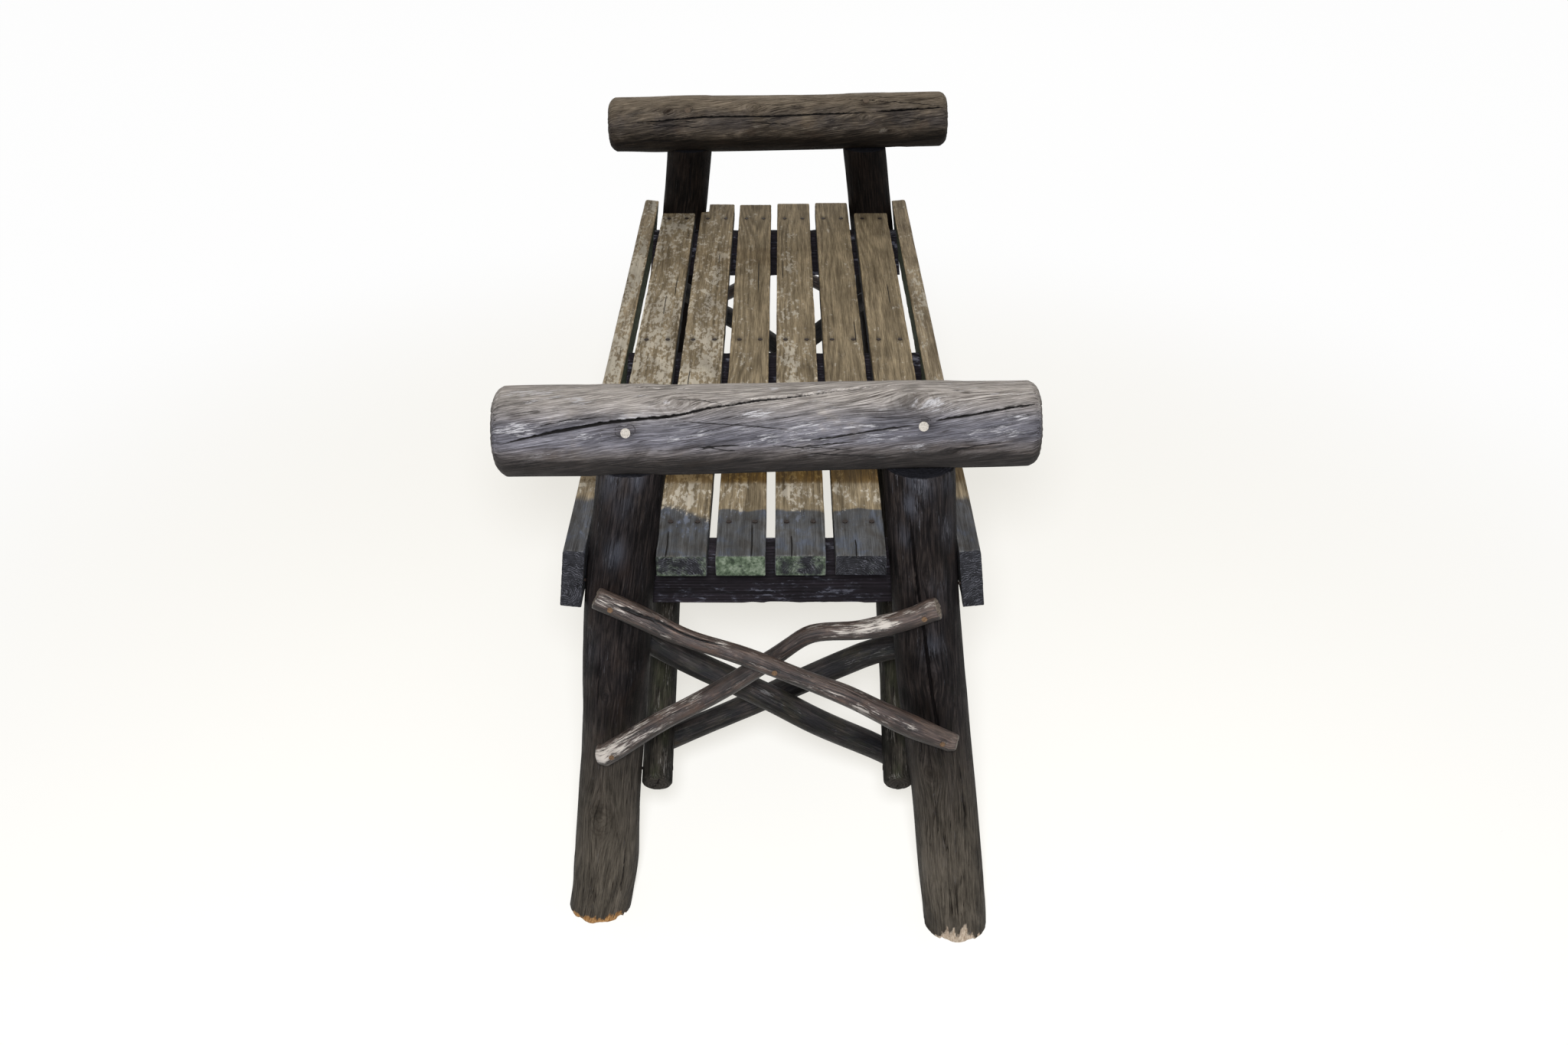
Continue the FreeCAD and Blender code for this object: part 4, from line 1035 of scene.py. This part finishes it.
# Legs, up to the arm log and straight on into its seat
LEG_TOP = 0.541
LEG_SEAT = 0.0075
for end in ENDS:
    for side in SIDES:
        name = "leg_" + end + "_" + side
        foot, top = ends_of(name, Z, 0.0002, 0.003)
        tube = Tube(name, foot * (1, 1, 0), foot + (top - foot) * (LEG_TOP / top[2]), first_normal=Z)
        tube.lengthen(LEG_SEAT)
        tube.radii[:4] = tube.radii[4]
        generator = np.random.default_rng(seed_of(name))
        cracks = cracks_on(tube, generator, 10, 0.14, 0.0008)
        knots = []
        outside = 1 if side == "left" else -1
        for _ in range(3):
            knots.append((generator.uniform(0.05, 0.5), generator.uniform(0.5, 2.6) * outside + 1.5,
                          generator.uniform(0.006, 0.011), generator.uniform(0.0004, 0.0012), 0.6))
        chips = []
        for t, angle, width, high, deep in marks_on(tube, CHIPS):
            chips.append((angle, width / 2 / tube.mean_radius, high, deep))
        chips.append((generator.uniform(0, 6), 0.5, 0.004, 0.002))
        log(tube, LEG_WOOD[end, side], by_end(end, 240, 170), by_end(end, 0.0018, 0.0028),
            seed_of(name) % 97, cracks, heads_on(tube, NAIL_GROUPS), rounds=(0.0030, 0.002),
            spiral=0.03, lumps=0.0011, grain=0.00022, cap_rows=12, knots=knots, chips=chips, ground=True)


def branch(end, family, kind, material, first_seed, step, rounding, lumps):
    name = family + "_branch_" + kind + "_" + end
    longest = np.eye(3)[np.argmax(np.ptp(points_of(name), 0))]
    tube = Tube(name, *ends_of(name, longest, 0.004, 0.004))
    seed = first_seed + len(name) + (end == "near")
    cracks = cracks_on(tube, np.random.default_rng(seed), 5, 0.05, 0.0006)
    log(tube, material, by_end(end, 90, 60), step, seed, cracks,
        heads_on(tube, NAIL_GROUPS), rounds=(rounding, rounding), spiral=0.02, lumps=lumps, grain=0.00016,
        cap_rows=8)


# Crosses of branches and knee braces
for end in ENDS:
    for kind in ("falling", "rising"):
        branch(end, "outer", kind, OUTER_STICK, 40, by_end(end, 0.0014, 0.0024), 0.0022, 0.0006)
        branch(end, "inner", kind, INNER_STICK, 60, by_end(end, 0.0018, 0.0026), 0.0025, 0.0008)
    for side in SIDES:
        name = "knee_brace_" + end + "_" + side
        inward = by_end(end, Y, -Y)
        tube = Tube(name, *ends_of(name, inward, 0.006, 0.0005), last_normal=inward, trim=(0.02, 0.07))
        cracks = cracks_on(tube, np.random.default_rng(seed_of(name)), 9, 0.09, 0.0008)
        log(tube, BRACE, by_end(end, 110, 80), 0.0026, seed_of(name) % 89, cracks,
            heads_on(tube, ["knee_brace_nails", "inner_cross_nails_" + end]), rounds=(0.0065, 0.0006),
            spiral=0.02, lumps=0.0008, grain=0.00018, cap_rows=8)


# Boards
BOARD_ROUNDING = 0.0008
DIMPLE_DEPTH = 0.0008
DIMPLE_RADIUS = 0.0046
RUST_RADIUS = 0.0034
RIDGE_DEPTH = 0.00010
FIBRE_DEPTH = 0.00010
WAVE_DEPTH = 0.00025
NICK_REACH = 0.0016
ARRIS_REACH = 0.0018
END_ARRIS_REACH = 0.0016
SAW_MARK_DEPTH = 0.00022
END_RING_DEPTH = 0.00012
NO_TURN = 1e6


def rounded_outline(width, height, corners, counts):
    """Points round a board's section from its lower left corner, with the outward direction of each.
    corners are the radii of the lower left, lower right, upper right and upper left corners, and
    counts the points along the lower, right, upper and left sides."""
    arcs = []
    for quarter, (sx, sy) in enumerate(((-1, -1), (1, -1), (1, 1), (-1, 1))):
        radius = corners[quarter]
        begin = (180 + 90 * quarter) % 360
        angles = np.radians(np.linspace(begin, begin + 90, 4))
        outs = stacked(np.cos(angles), np.sin(angles))
        arcs.append((np.array([sx * (width / 2 - radius), sy * (height / 2 - radius)]) + outs * radius, outs))
    points, directions = [], []
    for quarter, (arc, outs) in enumerate(arcs):
        following = arcs[(quarter + 1) % 4][0][0]
        shares = np.linspace(0, 1, counts[quarter] + 2)[1:-1, None]
        points += [arc, arc[-1] + (following - arc[-1]) * shares]
        directions += [outs, np.repeat(outs[-1:], len(shares), 0)]
    return np.vstack(points), np.vstack(directions)


def board(node, material, start, along, across, up, length, width, height, corners, counts, step, seed,
          worn, wear, dimples=(), cracks=(), shape=None, shadow_and_tan_bands=()):
    """Sawn board from a start point (the middle of its section) with worn edges and raised grain."""
    outline, outs = rounded_outline(width, height, corners, counts)
    columns = len(outline)
    end = [(0.0, share, 1.0) for share in np.linspace(0.08, 1, 7, endpoint=False)]
    end.append((0.0, 1 - BOARD_ROUNDING / height, 1.0))
    end.append((BOARD_ROUNDING * 0.3, 1 - BOARD_ROUNDING * 0.3 / height, 0.6))
    side_rows = np.linspace(BOARD_ROUNDING, length - BOARD_ROUNDING, max(int(length / step), 8))
    rows = np.array(end + [(t, 1.0, 0.0) for t in side_rows] + mirrored(end, length))
    t, share, cap = np.repeat(rows, columns, 0).T
    count = len(t)
    a, b = np.tile(outline, (len(rows), 1)).T * share
    out_a, out_b = np.tile(outs, (len(rows), 1)).T

    def rough(over, lengthwise, octaves, more=0, gain=0.5):
        """Noise that repeats so many times in a metre across the board and along it."""
        return layered(stacked(a * over, t * lengthwise, b * over), octaves, seed + more, gain)

    # Raised late wood in long arches, saw marks, and edges worn round
    bend = noise(stacked(t * 1.6, seed * 1.0, 0.0), seed) * 0.010
    bend += noise(stacked(t * 6.0, seed * 1.0, 0.0), seed + 1) * 0.0025
    depth = 0.020 + 0.012 * math.sin(seed)
    ring = np.hypot(a - bend, b + depth + np.abs(bend))
    turns = ring * 2 * math.pi / RING_PITCH
    ridges = np.sin(turns + rough(60, 3, 2) * 1.5)
    relief = np.clip(ridges, -0.3, 1) * RIDGE_DEPTH
    relief += rough(500, 12, 2, 2) * FIBRE_DEPTH
    relief += rough(30, 12, 2, 6) * WAVE_DEPTH
    corner = np.abs(np.abs(a) - width / 2) + np.abs(np.abs(b) - height / 2)
    relief -= np.clip(rough(90, 45, 3, 11, 0.6), 0, 1) * wear * 2.2 * bell(corner / NICK_REACH)
    crack = np.full(count, NO_CRACK)
    on_top = (b > 0) | (cap > 0.5)
    near_top = b > height * 0.3
    for line, crack_width, deep in cracks:
        edge, groove, taper = split(t, a, np.array(line), crack_width, NO_TURN)
        relief -= on_top * deep * taper * groove
        crack = np.minimum(crack, np.where(on_top, edge, NO_CRACK))
    stain = np.zeros(count)
    for t0, a0 in dimples:
        near = near_top * bell(np.hypot(t - t0, a - a0) / DIMPLE_RADIUS, 4)
        relief = relief * (1 - near) - DIMPLE_DEPTH * near
        stain = np.maximum(stain, near_top * bell(np.hypot((t - t0) / 2.2, a - a0) / RUST_RADIUS))
    relief = np.where(share > 0.995, relief, relief * 0.3)
    # Tan bands: the painted shadow of the near arm, and tan stains
    tan = np.zeros(count)
    for t0, size, strength in shadow_and_tan_bands:
        tan = np.maximum(tan, strength * bell((t - t0) / size, 12))
    arris = bell(corner / ARRIS_REACH) + bell(np.minimum(t, length - t) / END_ARRIS_REACH) * (b > 0)
    place = t
    if shape:
        a, b, place = shape(a, b, t)
    # End faces: saw marks and open grain
    pit = layered(stacked(a * 700, b * 150, t), 2, seed + 8) * SAW_MARK_DEPTH + np.sin(turns) * END_RING_DEPTH
    sign = np.where(t < length / 2, -1.0, 1.0)
    place = place + np.where(cap > 0.9, sign * pit, 0.0)
    relief = relief * (cap < 0.9)
    points = (start + along * place[:, None] + across * (a + out_a * relief)[:, None]
              + up * (b + out_b * relief)[:, None])
    grain = np.vstack([stacked(a, t, b), [[0, 0, 0], [0, length, 0]]])
    values = {
        "grain": grain + (seed * 0.31, 0, 0),
        "worn": capped(stacked(*worn(a / width, t / length, b / height, cap))),
        "marks": capped(stacked(tan, stain, np.clip(arris, 0, 1) * (cap < 0.9))),
        "crack": capped(crack, NO_CRACK),
        "ring": np.append(ring, ring[[0, -1]]),
        "cap": capped(cap, 1.0),
    }
    points = np.vstack([points, points[:columns].mean(0), points[-columns:].mean(0)])
    make_piece(node, len(rows), columns, points, values, material)


# Share of each slat's top that still has paint along its length: place and cover, near end first
SLAT_PAINT = (
    ((0, 0.38), (0.3, 0.5), (0.5, 0.5), (0.62, 0.52), (0.72, 0.34), (0.82, 0.36), (0.93, 0.52), (1, 0.35)),
    ((0, 0.1), (0.06, 0.34), (0.12, 0.44), (0.3, 0.5), (0.5, 0.5), (0.65, 0.44), (0.8, 0.42), (1, 0.25)),
    ((0, 0.05), (0.07, 0.2), (0.12, 0.4), (0.3, 0.3), (0.5, 0.24), (0.7, 0.3), (0.85, 0.26), (1, 0.1)),
    ((0, 0.1), (0.065, 0.34), (0.12, 0.46), (0.3, 0.46), (0.5, 0.44), (0.62, 0.38), (0.8, 0.26), (1, 0.1)),
    ((0, 0.1), (0.08, 0.2), (0.12, 0.34), (0.3, 0.26), (0.5, 0.2), (0.8, 0.18), (1, 0.1)),
    ((0, 0.15), (0.2, 0.2), (0.5, 0.15), (0.8, 0.12), (1, 0.1)),
)
# Green algae on the near end of each slat, and more of it on the rim of the end face
SLAT_GREEN = (0.1, 0.34, 0.82, 0.42, 0.14, 0.1)
RIM_GREEN = (0.0, 0.20, 0.25, 0.20, 0.06, 0.0)
# Tan bands, as place and half length: the painted shadow of the near arm, and a stain patch towards the far
# end
ARM_SHADOW_LINE = (-0.3425, 0.0235)
ARM_SHADOW_SHARE = (0.0, 0.85, 1.0, 1.0, 0.92, 0.0)
TAN_PATCH = (0.273, 0.034)
PATCH_SHARE = (0.08, 0.20, 0.24, 0.08, 0.0, 0.0)
# Damp and painted shade at the near ends, under the near arm: how far it reaches, how softly it fades and how
# much further on one side
DAMP_SHADE_REACH = (0.0, 0.080, 0.084, 0.083, 0.085, 0.0)
DAMP_SHADE_FADE = (0.008, 0.026, 0.009, 0.014, 0.008, 0.008)
DAMP_SHADE_SLANT = (0.0, -0.026, 0.0, -0.006, 0.004, 0.0)
# The second slat is cut back beside the two left legs: where each cut begins and ends, and its depth
FAR_NOTCH = (0.4560, 0.4575, 0.0115)
NEAR_NOTCH = (-0.4600, -0.4585, 0.0012)


def slat_wear(index, length):
    places, covers = np.array(SLAT_PAINT[index]).T

    def worn(a, t, b, cap):
        paint = np.interp(t, places, covers)
        paint = paint - 0.12 * (a > 0.1) * (index in (2, 3)) + 0.05 * np.sin(a * 9 + index)
        paint = np.where(b > 0.30, paint, paint - 0.6)
        place = t * length
        # Darker zone at the near end, under the near arm: damp and painted shade
        edge = DAMP_SHADE_REACH[index] + 0.002 * np.sin(a * 7 + index * 2) + DAMP_SHADE_SLANT[index] * a
        fade = DAMP_SHADE_FADE[index]
        damp_and_shade = (1 - smooth(edge - fade, edge + fade, place)) * (index not in (0, 5))
        damp_and_shade = np.maximum(damp_and_shade, 0.22 * (1 - smooth(0.01, 0.07, (1 - t) * length)))
        damp_and_shade = np.maximum(damp_and_shade, np.where(b < 0.2, 0.5, 0.0))
        green = SLAT_GREEN[index] * np.maximum(cap * (t < 0.5), 0.55 * (1 - smooth(0.0, 0.045, place)))
        rim = smooth(0.34, 0.5, np.maximum(np.abs(a), np.abs(b)))
        return paint, damp_and_shade, green + RIM_GREEN[index] * rim * cap * (t < 0.5)
    return worn


def slat_notch(low, width):
    def notch(a, b, t):
        y = low[1] + t
        limit = -width / 2 + smooth(*FAR_NOTCH[:2], y) * FAR_NOTCH[2]
        a = np.where(a < limit, limit + (a + width / 2) * 0.02, a)
        limit = -width / 2 + (1 - smooth(*NEAR_NOTCH[:2], y)) * NEAR_NOTCH[2]
        return np.maximum(a, limit), b, t
    return notch


# The band of painted shadow that the near arm casts across a board
def arm_shadow_band(low, share):
    return ARM_SHADOW_LINE[0] - low[1], ARM_SHADOW_LINE[1], share


nail_heads = []
for group in ("slat_nails_near", "slat_nails_middle", "slat_nails_far"):
    points = points_of(group)
    top = points[points[:, 2] > points[:, 2].max() - 0.0002]
    columns = np.sort(top[:, 0])
    cuts = np.where(np.diff(columns) > 0.004)[0]
    for part in np.split(columns, cuts + 1):
        nail_heads.append(((part.min() + part.max()) / 2, top[:, 1].mean()))

for index in range(6):
    name = "seat_slat_" + str(index + 1)
    low, high = box_of(name)
    width, length, height = high - low
    middle = (low + high) / 2
    start = np.array([middle[0], low[1], middle[2]])
    dimples = [(y - low[1], x - middle[0]) for x, y in nail_heads if low[0] < x < high[0]]
    generator = np.random.default_rng(300 + index)
    cracks = []
    for _ in range(2):
        t0 = generator.uniform(0.02, 0.85) * length
        a0 = generator.uniform(-0.42, 0.42) * width
        size = generator.uniform(0.03, 0.12)
        line = [(t0, a0), (t0 + size / 2, a0 + generator.normal(0, 0.0006)), (t0 + size, a0)]
        cracks.append((line, 0.0006, 0.0010))
    a0 = generator.uniform(-0.3, 0.3) * width
    cracks.append(([(-0.002, a0), (0.02, a0 + 0.0006), (generator.uniform(0.03, 0.06), a0)], 0.0009, 0.002))
    # The painted shadow of the near arm, and a tan stain patch
    shadow_and_tan_bands = (arm_shadow_band(low, ARM_SHADOW_SHARE[index]), (TAN_PATCH[0] - low[1], TAN_PATCH[1], PATCH_SHARE[index]))
    board(name, SLAT, start, Y, X, Z, length, width, height, (0.0008, 0.0008, 0.0016, 0.0016),
          (16, 8, 62, 8), 0.0024, 3 + index * 7, slat_wear(index, length), 0.0004, dimples, cracks,
          slat_notch(low, width) if index == 1 else None, shadow_and_tan_bands)

# Side rails. The inner face of each runs out as it goes down
for side, name in ((-1, "side_rail_left"), (1, "side_rail_right")):
    points = points_of(name)
    low, high = box_of(name)
    near = points[points[:, 1] < low[1] + 0.0005]
    top_inner = near[np.argmin(near[:, 0] * side)]
    outer_low = near[np.argmax(near[:, 0] * side)]
    bottom = near[np.argmin(near[:, 2])]
    down = unit((bottom - top_inner) * (1, 0, 1))
    out = np.array([-down[2] * side, 0.0, down[0] * side])
    height = float(np.linalg.norm((bottom - top_inner)[[0, 2]]))
    width = float((outer_low - top_inner) @ out)
    middle = top_inner + out * width / 2 + down * height / 2
    start = np.array([middle[0], low[1], middle[2]])
    corners = (0.001, 0.001, 0.0035, 0.001) if side > 0 else (0.001, 0.001, 0.001, 0.0035)

    def rail_wear(a, t, b, cap, side=side):
        paint = 0.25 - 0.11 * side + 0.20 * (b > 0.42) + 0.10 * np.sin(t * 21 + side)
        paint = paint - 0.20 * (a * side < -0.4) - 0.35 * (1 - smooth(0.10, 0.16, t))
        paint = paint - 0.16 * smooth(0.75, 0.95, t)
        green = np.where((a * side < -0.4) & (b < 0.45), 1.05, 0.0) * smooth(0.15, 0.4, t)
        # Damp and painted shade at the near end, under the near arm
        return paint, 1 - smooth(0.06, 0.13, t), green

    # The painted shadow of the near arm falls across the near end of each rail
    board(name, RAIL, start, Y, out * side, -down, high[1] - low[1], width, height, corners,
          (12, 34, 16, 34), 0.0032, 50 + side, rail_wear, 0.0006, shadow_and_tan_bands=(arm_shadow_band(low, 0.6),))


# Bearers. Their ends follow the lean of the rails
def bearer_wear(a, t, b, cap):
    return 0.27 + 0.10 * (1 - smooth(0.0, 0.10, np.minimum(t, 1 - t))), 0.25, 0.12


for name in ("bearer_near", "bearer_middle", "bearer_far"):
    low, high = box_of(name)
    points = points_of(name)
    top_x = np.abs(points[points[:, 2] > high[2] - 0.0005][:, 0]).max()
    bottom_x = np.abs(points[points[:, 2] < low[2] + 0.0005][:, 0]).max()
    _, thickness, height = high - low
    start = np.array([-top_x, (low[1] + high[1]) / 2, (low[2] + high[2]) / 2])

    def slant(a, b, t, top_x=top_x, bottom_x=bottom_x, height=height):
        reach = top_x + (bottom_x - top_x) * (0.5 - b / height)
        return a, b, top_x + (t - top_x) * reach / top_x

    board(name, BEARER, start, X, -Y, Z, 2 * top_x, thickness, height, (0.0010,) * 4,
          (8, 30, 8, 30), 0.003, 70 + len(name), bearer_wear, 0.0007, shape=slant)


# Floor, world and lamps
FLOOR_HALF = 14.0
WHITE = (1.0, 1.0, 1.0)


def sees_background(g):
    """Rays that see the white background: from the camera, mirrored, or through glass."""
    rays = g.node("LightPath").outputs
    direct = g.math("MAXIMUM", rays["Is Camera Ray"], rays["Is Glossy Ray"])
    return g.math("MAXIMUM", direct, rays["Is Transmission Ray"])


def floor_material():
    g = material_graph("floor")
    g.base = g.node("NewGeometry").outputs["Position"]
    dirt = g.span(g.noise(75.0, 6.0, 0.75), 0.66, 0.72)
    dirt = g.times(dirt, g.span(g.noise(3.0, 3.0, 0.5), 0.42, 0.60, 0.0, 0.45))
    white_rays = sees_background(g)
    color = g.mix(white_rays, (0.64, 0.68, 0.76), g.mix(dirt, (0.97, 0.98, 1.0), (0.30, 0.31, 0.36)))
    diffuse = g.node("BsdfDiffuse", {"Color": color, "Roughness": 0.9})
    reach = g.size(g.base)
    tint = g.mix(g.span(reach, 0.5, 1.7), (1.0, 0.975, 0.905), WHITE)
    glow = g.node("Emission", {"Color": tint, "Strength": 1.0})
    share = g.times(white_rays, g.span(reach, 0.6, 1.8, 0.66, 0.97))
    both = g.node("MixShader", {0: share, 1: diffuse.outputs[0], 2: glow.outputs[0]})
    g.node("OutputMaterial", {"Surface": both.outputs[0]})
    return g.owner


corners = [(FLOOR_HALF * x, FLOOR_HALF * y, 0) for x, y in ((-1, -1), (1, -1), (1, 1), (-1, 1))]
mesh = bpy.data.meshes.new("floor")
mesh.from_pydata(corners, [], [(0, 1, 2, 3)])
mesh.materials.append(floor_material())
floor = bpy.data.objects.new("floor", mesh)
scene.collection.objects.link(floor)

world = bpy.data.worlds.new("studio")
scene.world = world
g = Graph(world)
plain = g.node("Background", {"Color": (1.0, 0.96, 0.89), "Strength": 0.34})
white = g.node("Background", {"Color": WHITE, "Strength": 1.0})
chosen = g.node("MixShader", {0: sees_background(g), 1: plain.outputs[0], 2: white.outputs[0]})
g.node("OutputWorld", {"Surface": chosen.outputs[0]})

# Each lamp: place, size, power and colour
LAMP_AIM = Vector((0.0, 0.0, 0.3))
LAMPS = {
    "front": ((0.0, -1.80, 1.345), 0.22, 32.0, (0.97, 0.985, 1.0)),
    "ceiling": ((0.3, 0.9, 3.2), 2.4, 10.0, (1.0, 0.96, 0.90)),
    "back": ((0.4, 3.4, 2.2), 2.4, 40.0, (1.0, 0.97, 0.93)),
}
for name, (place, size, power, color) in LAMPS.items():
    data = bpy.data.lights.new(name, "AREA")
    data.shape = "DISK"
    data.size = size
    data.energy = power
    data.color = color
    lamp = bpy.data.objects.new(name, data)
    lamp.location = place
    lamp.rotation_mode = "QUATERNION"
    lamp.rotation_quaternion = (LAMP_AIM - Vector(place)).to_track_quat("-Z", "Y")
    scene.collection.objects.link(lamp)

scene.view_settings.view_transform = "Standard"
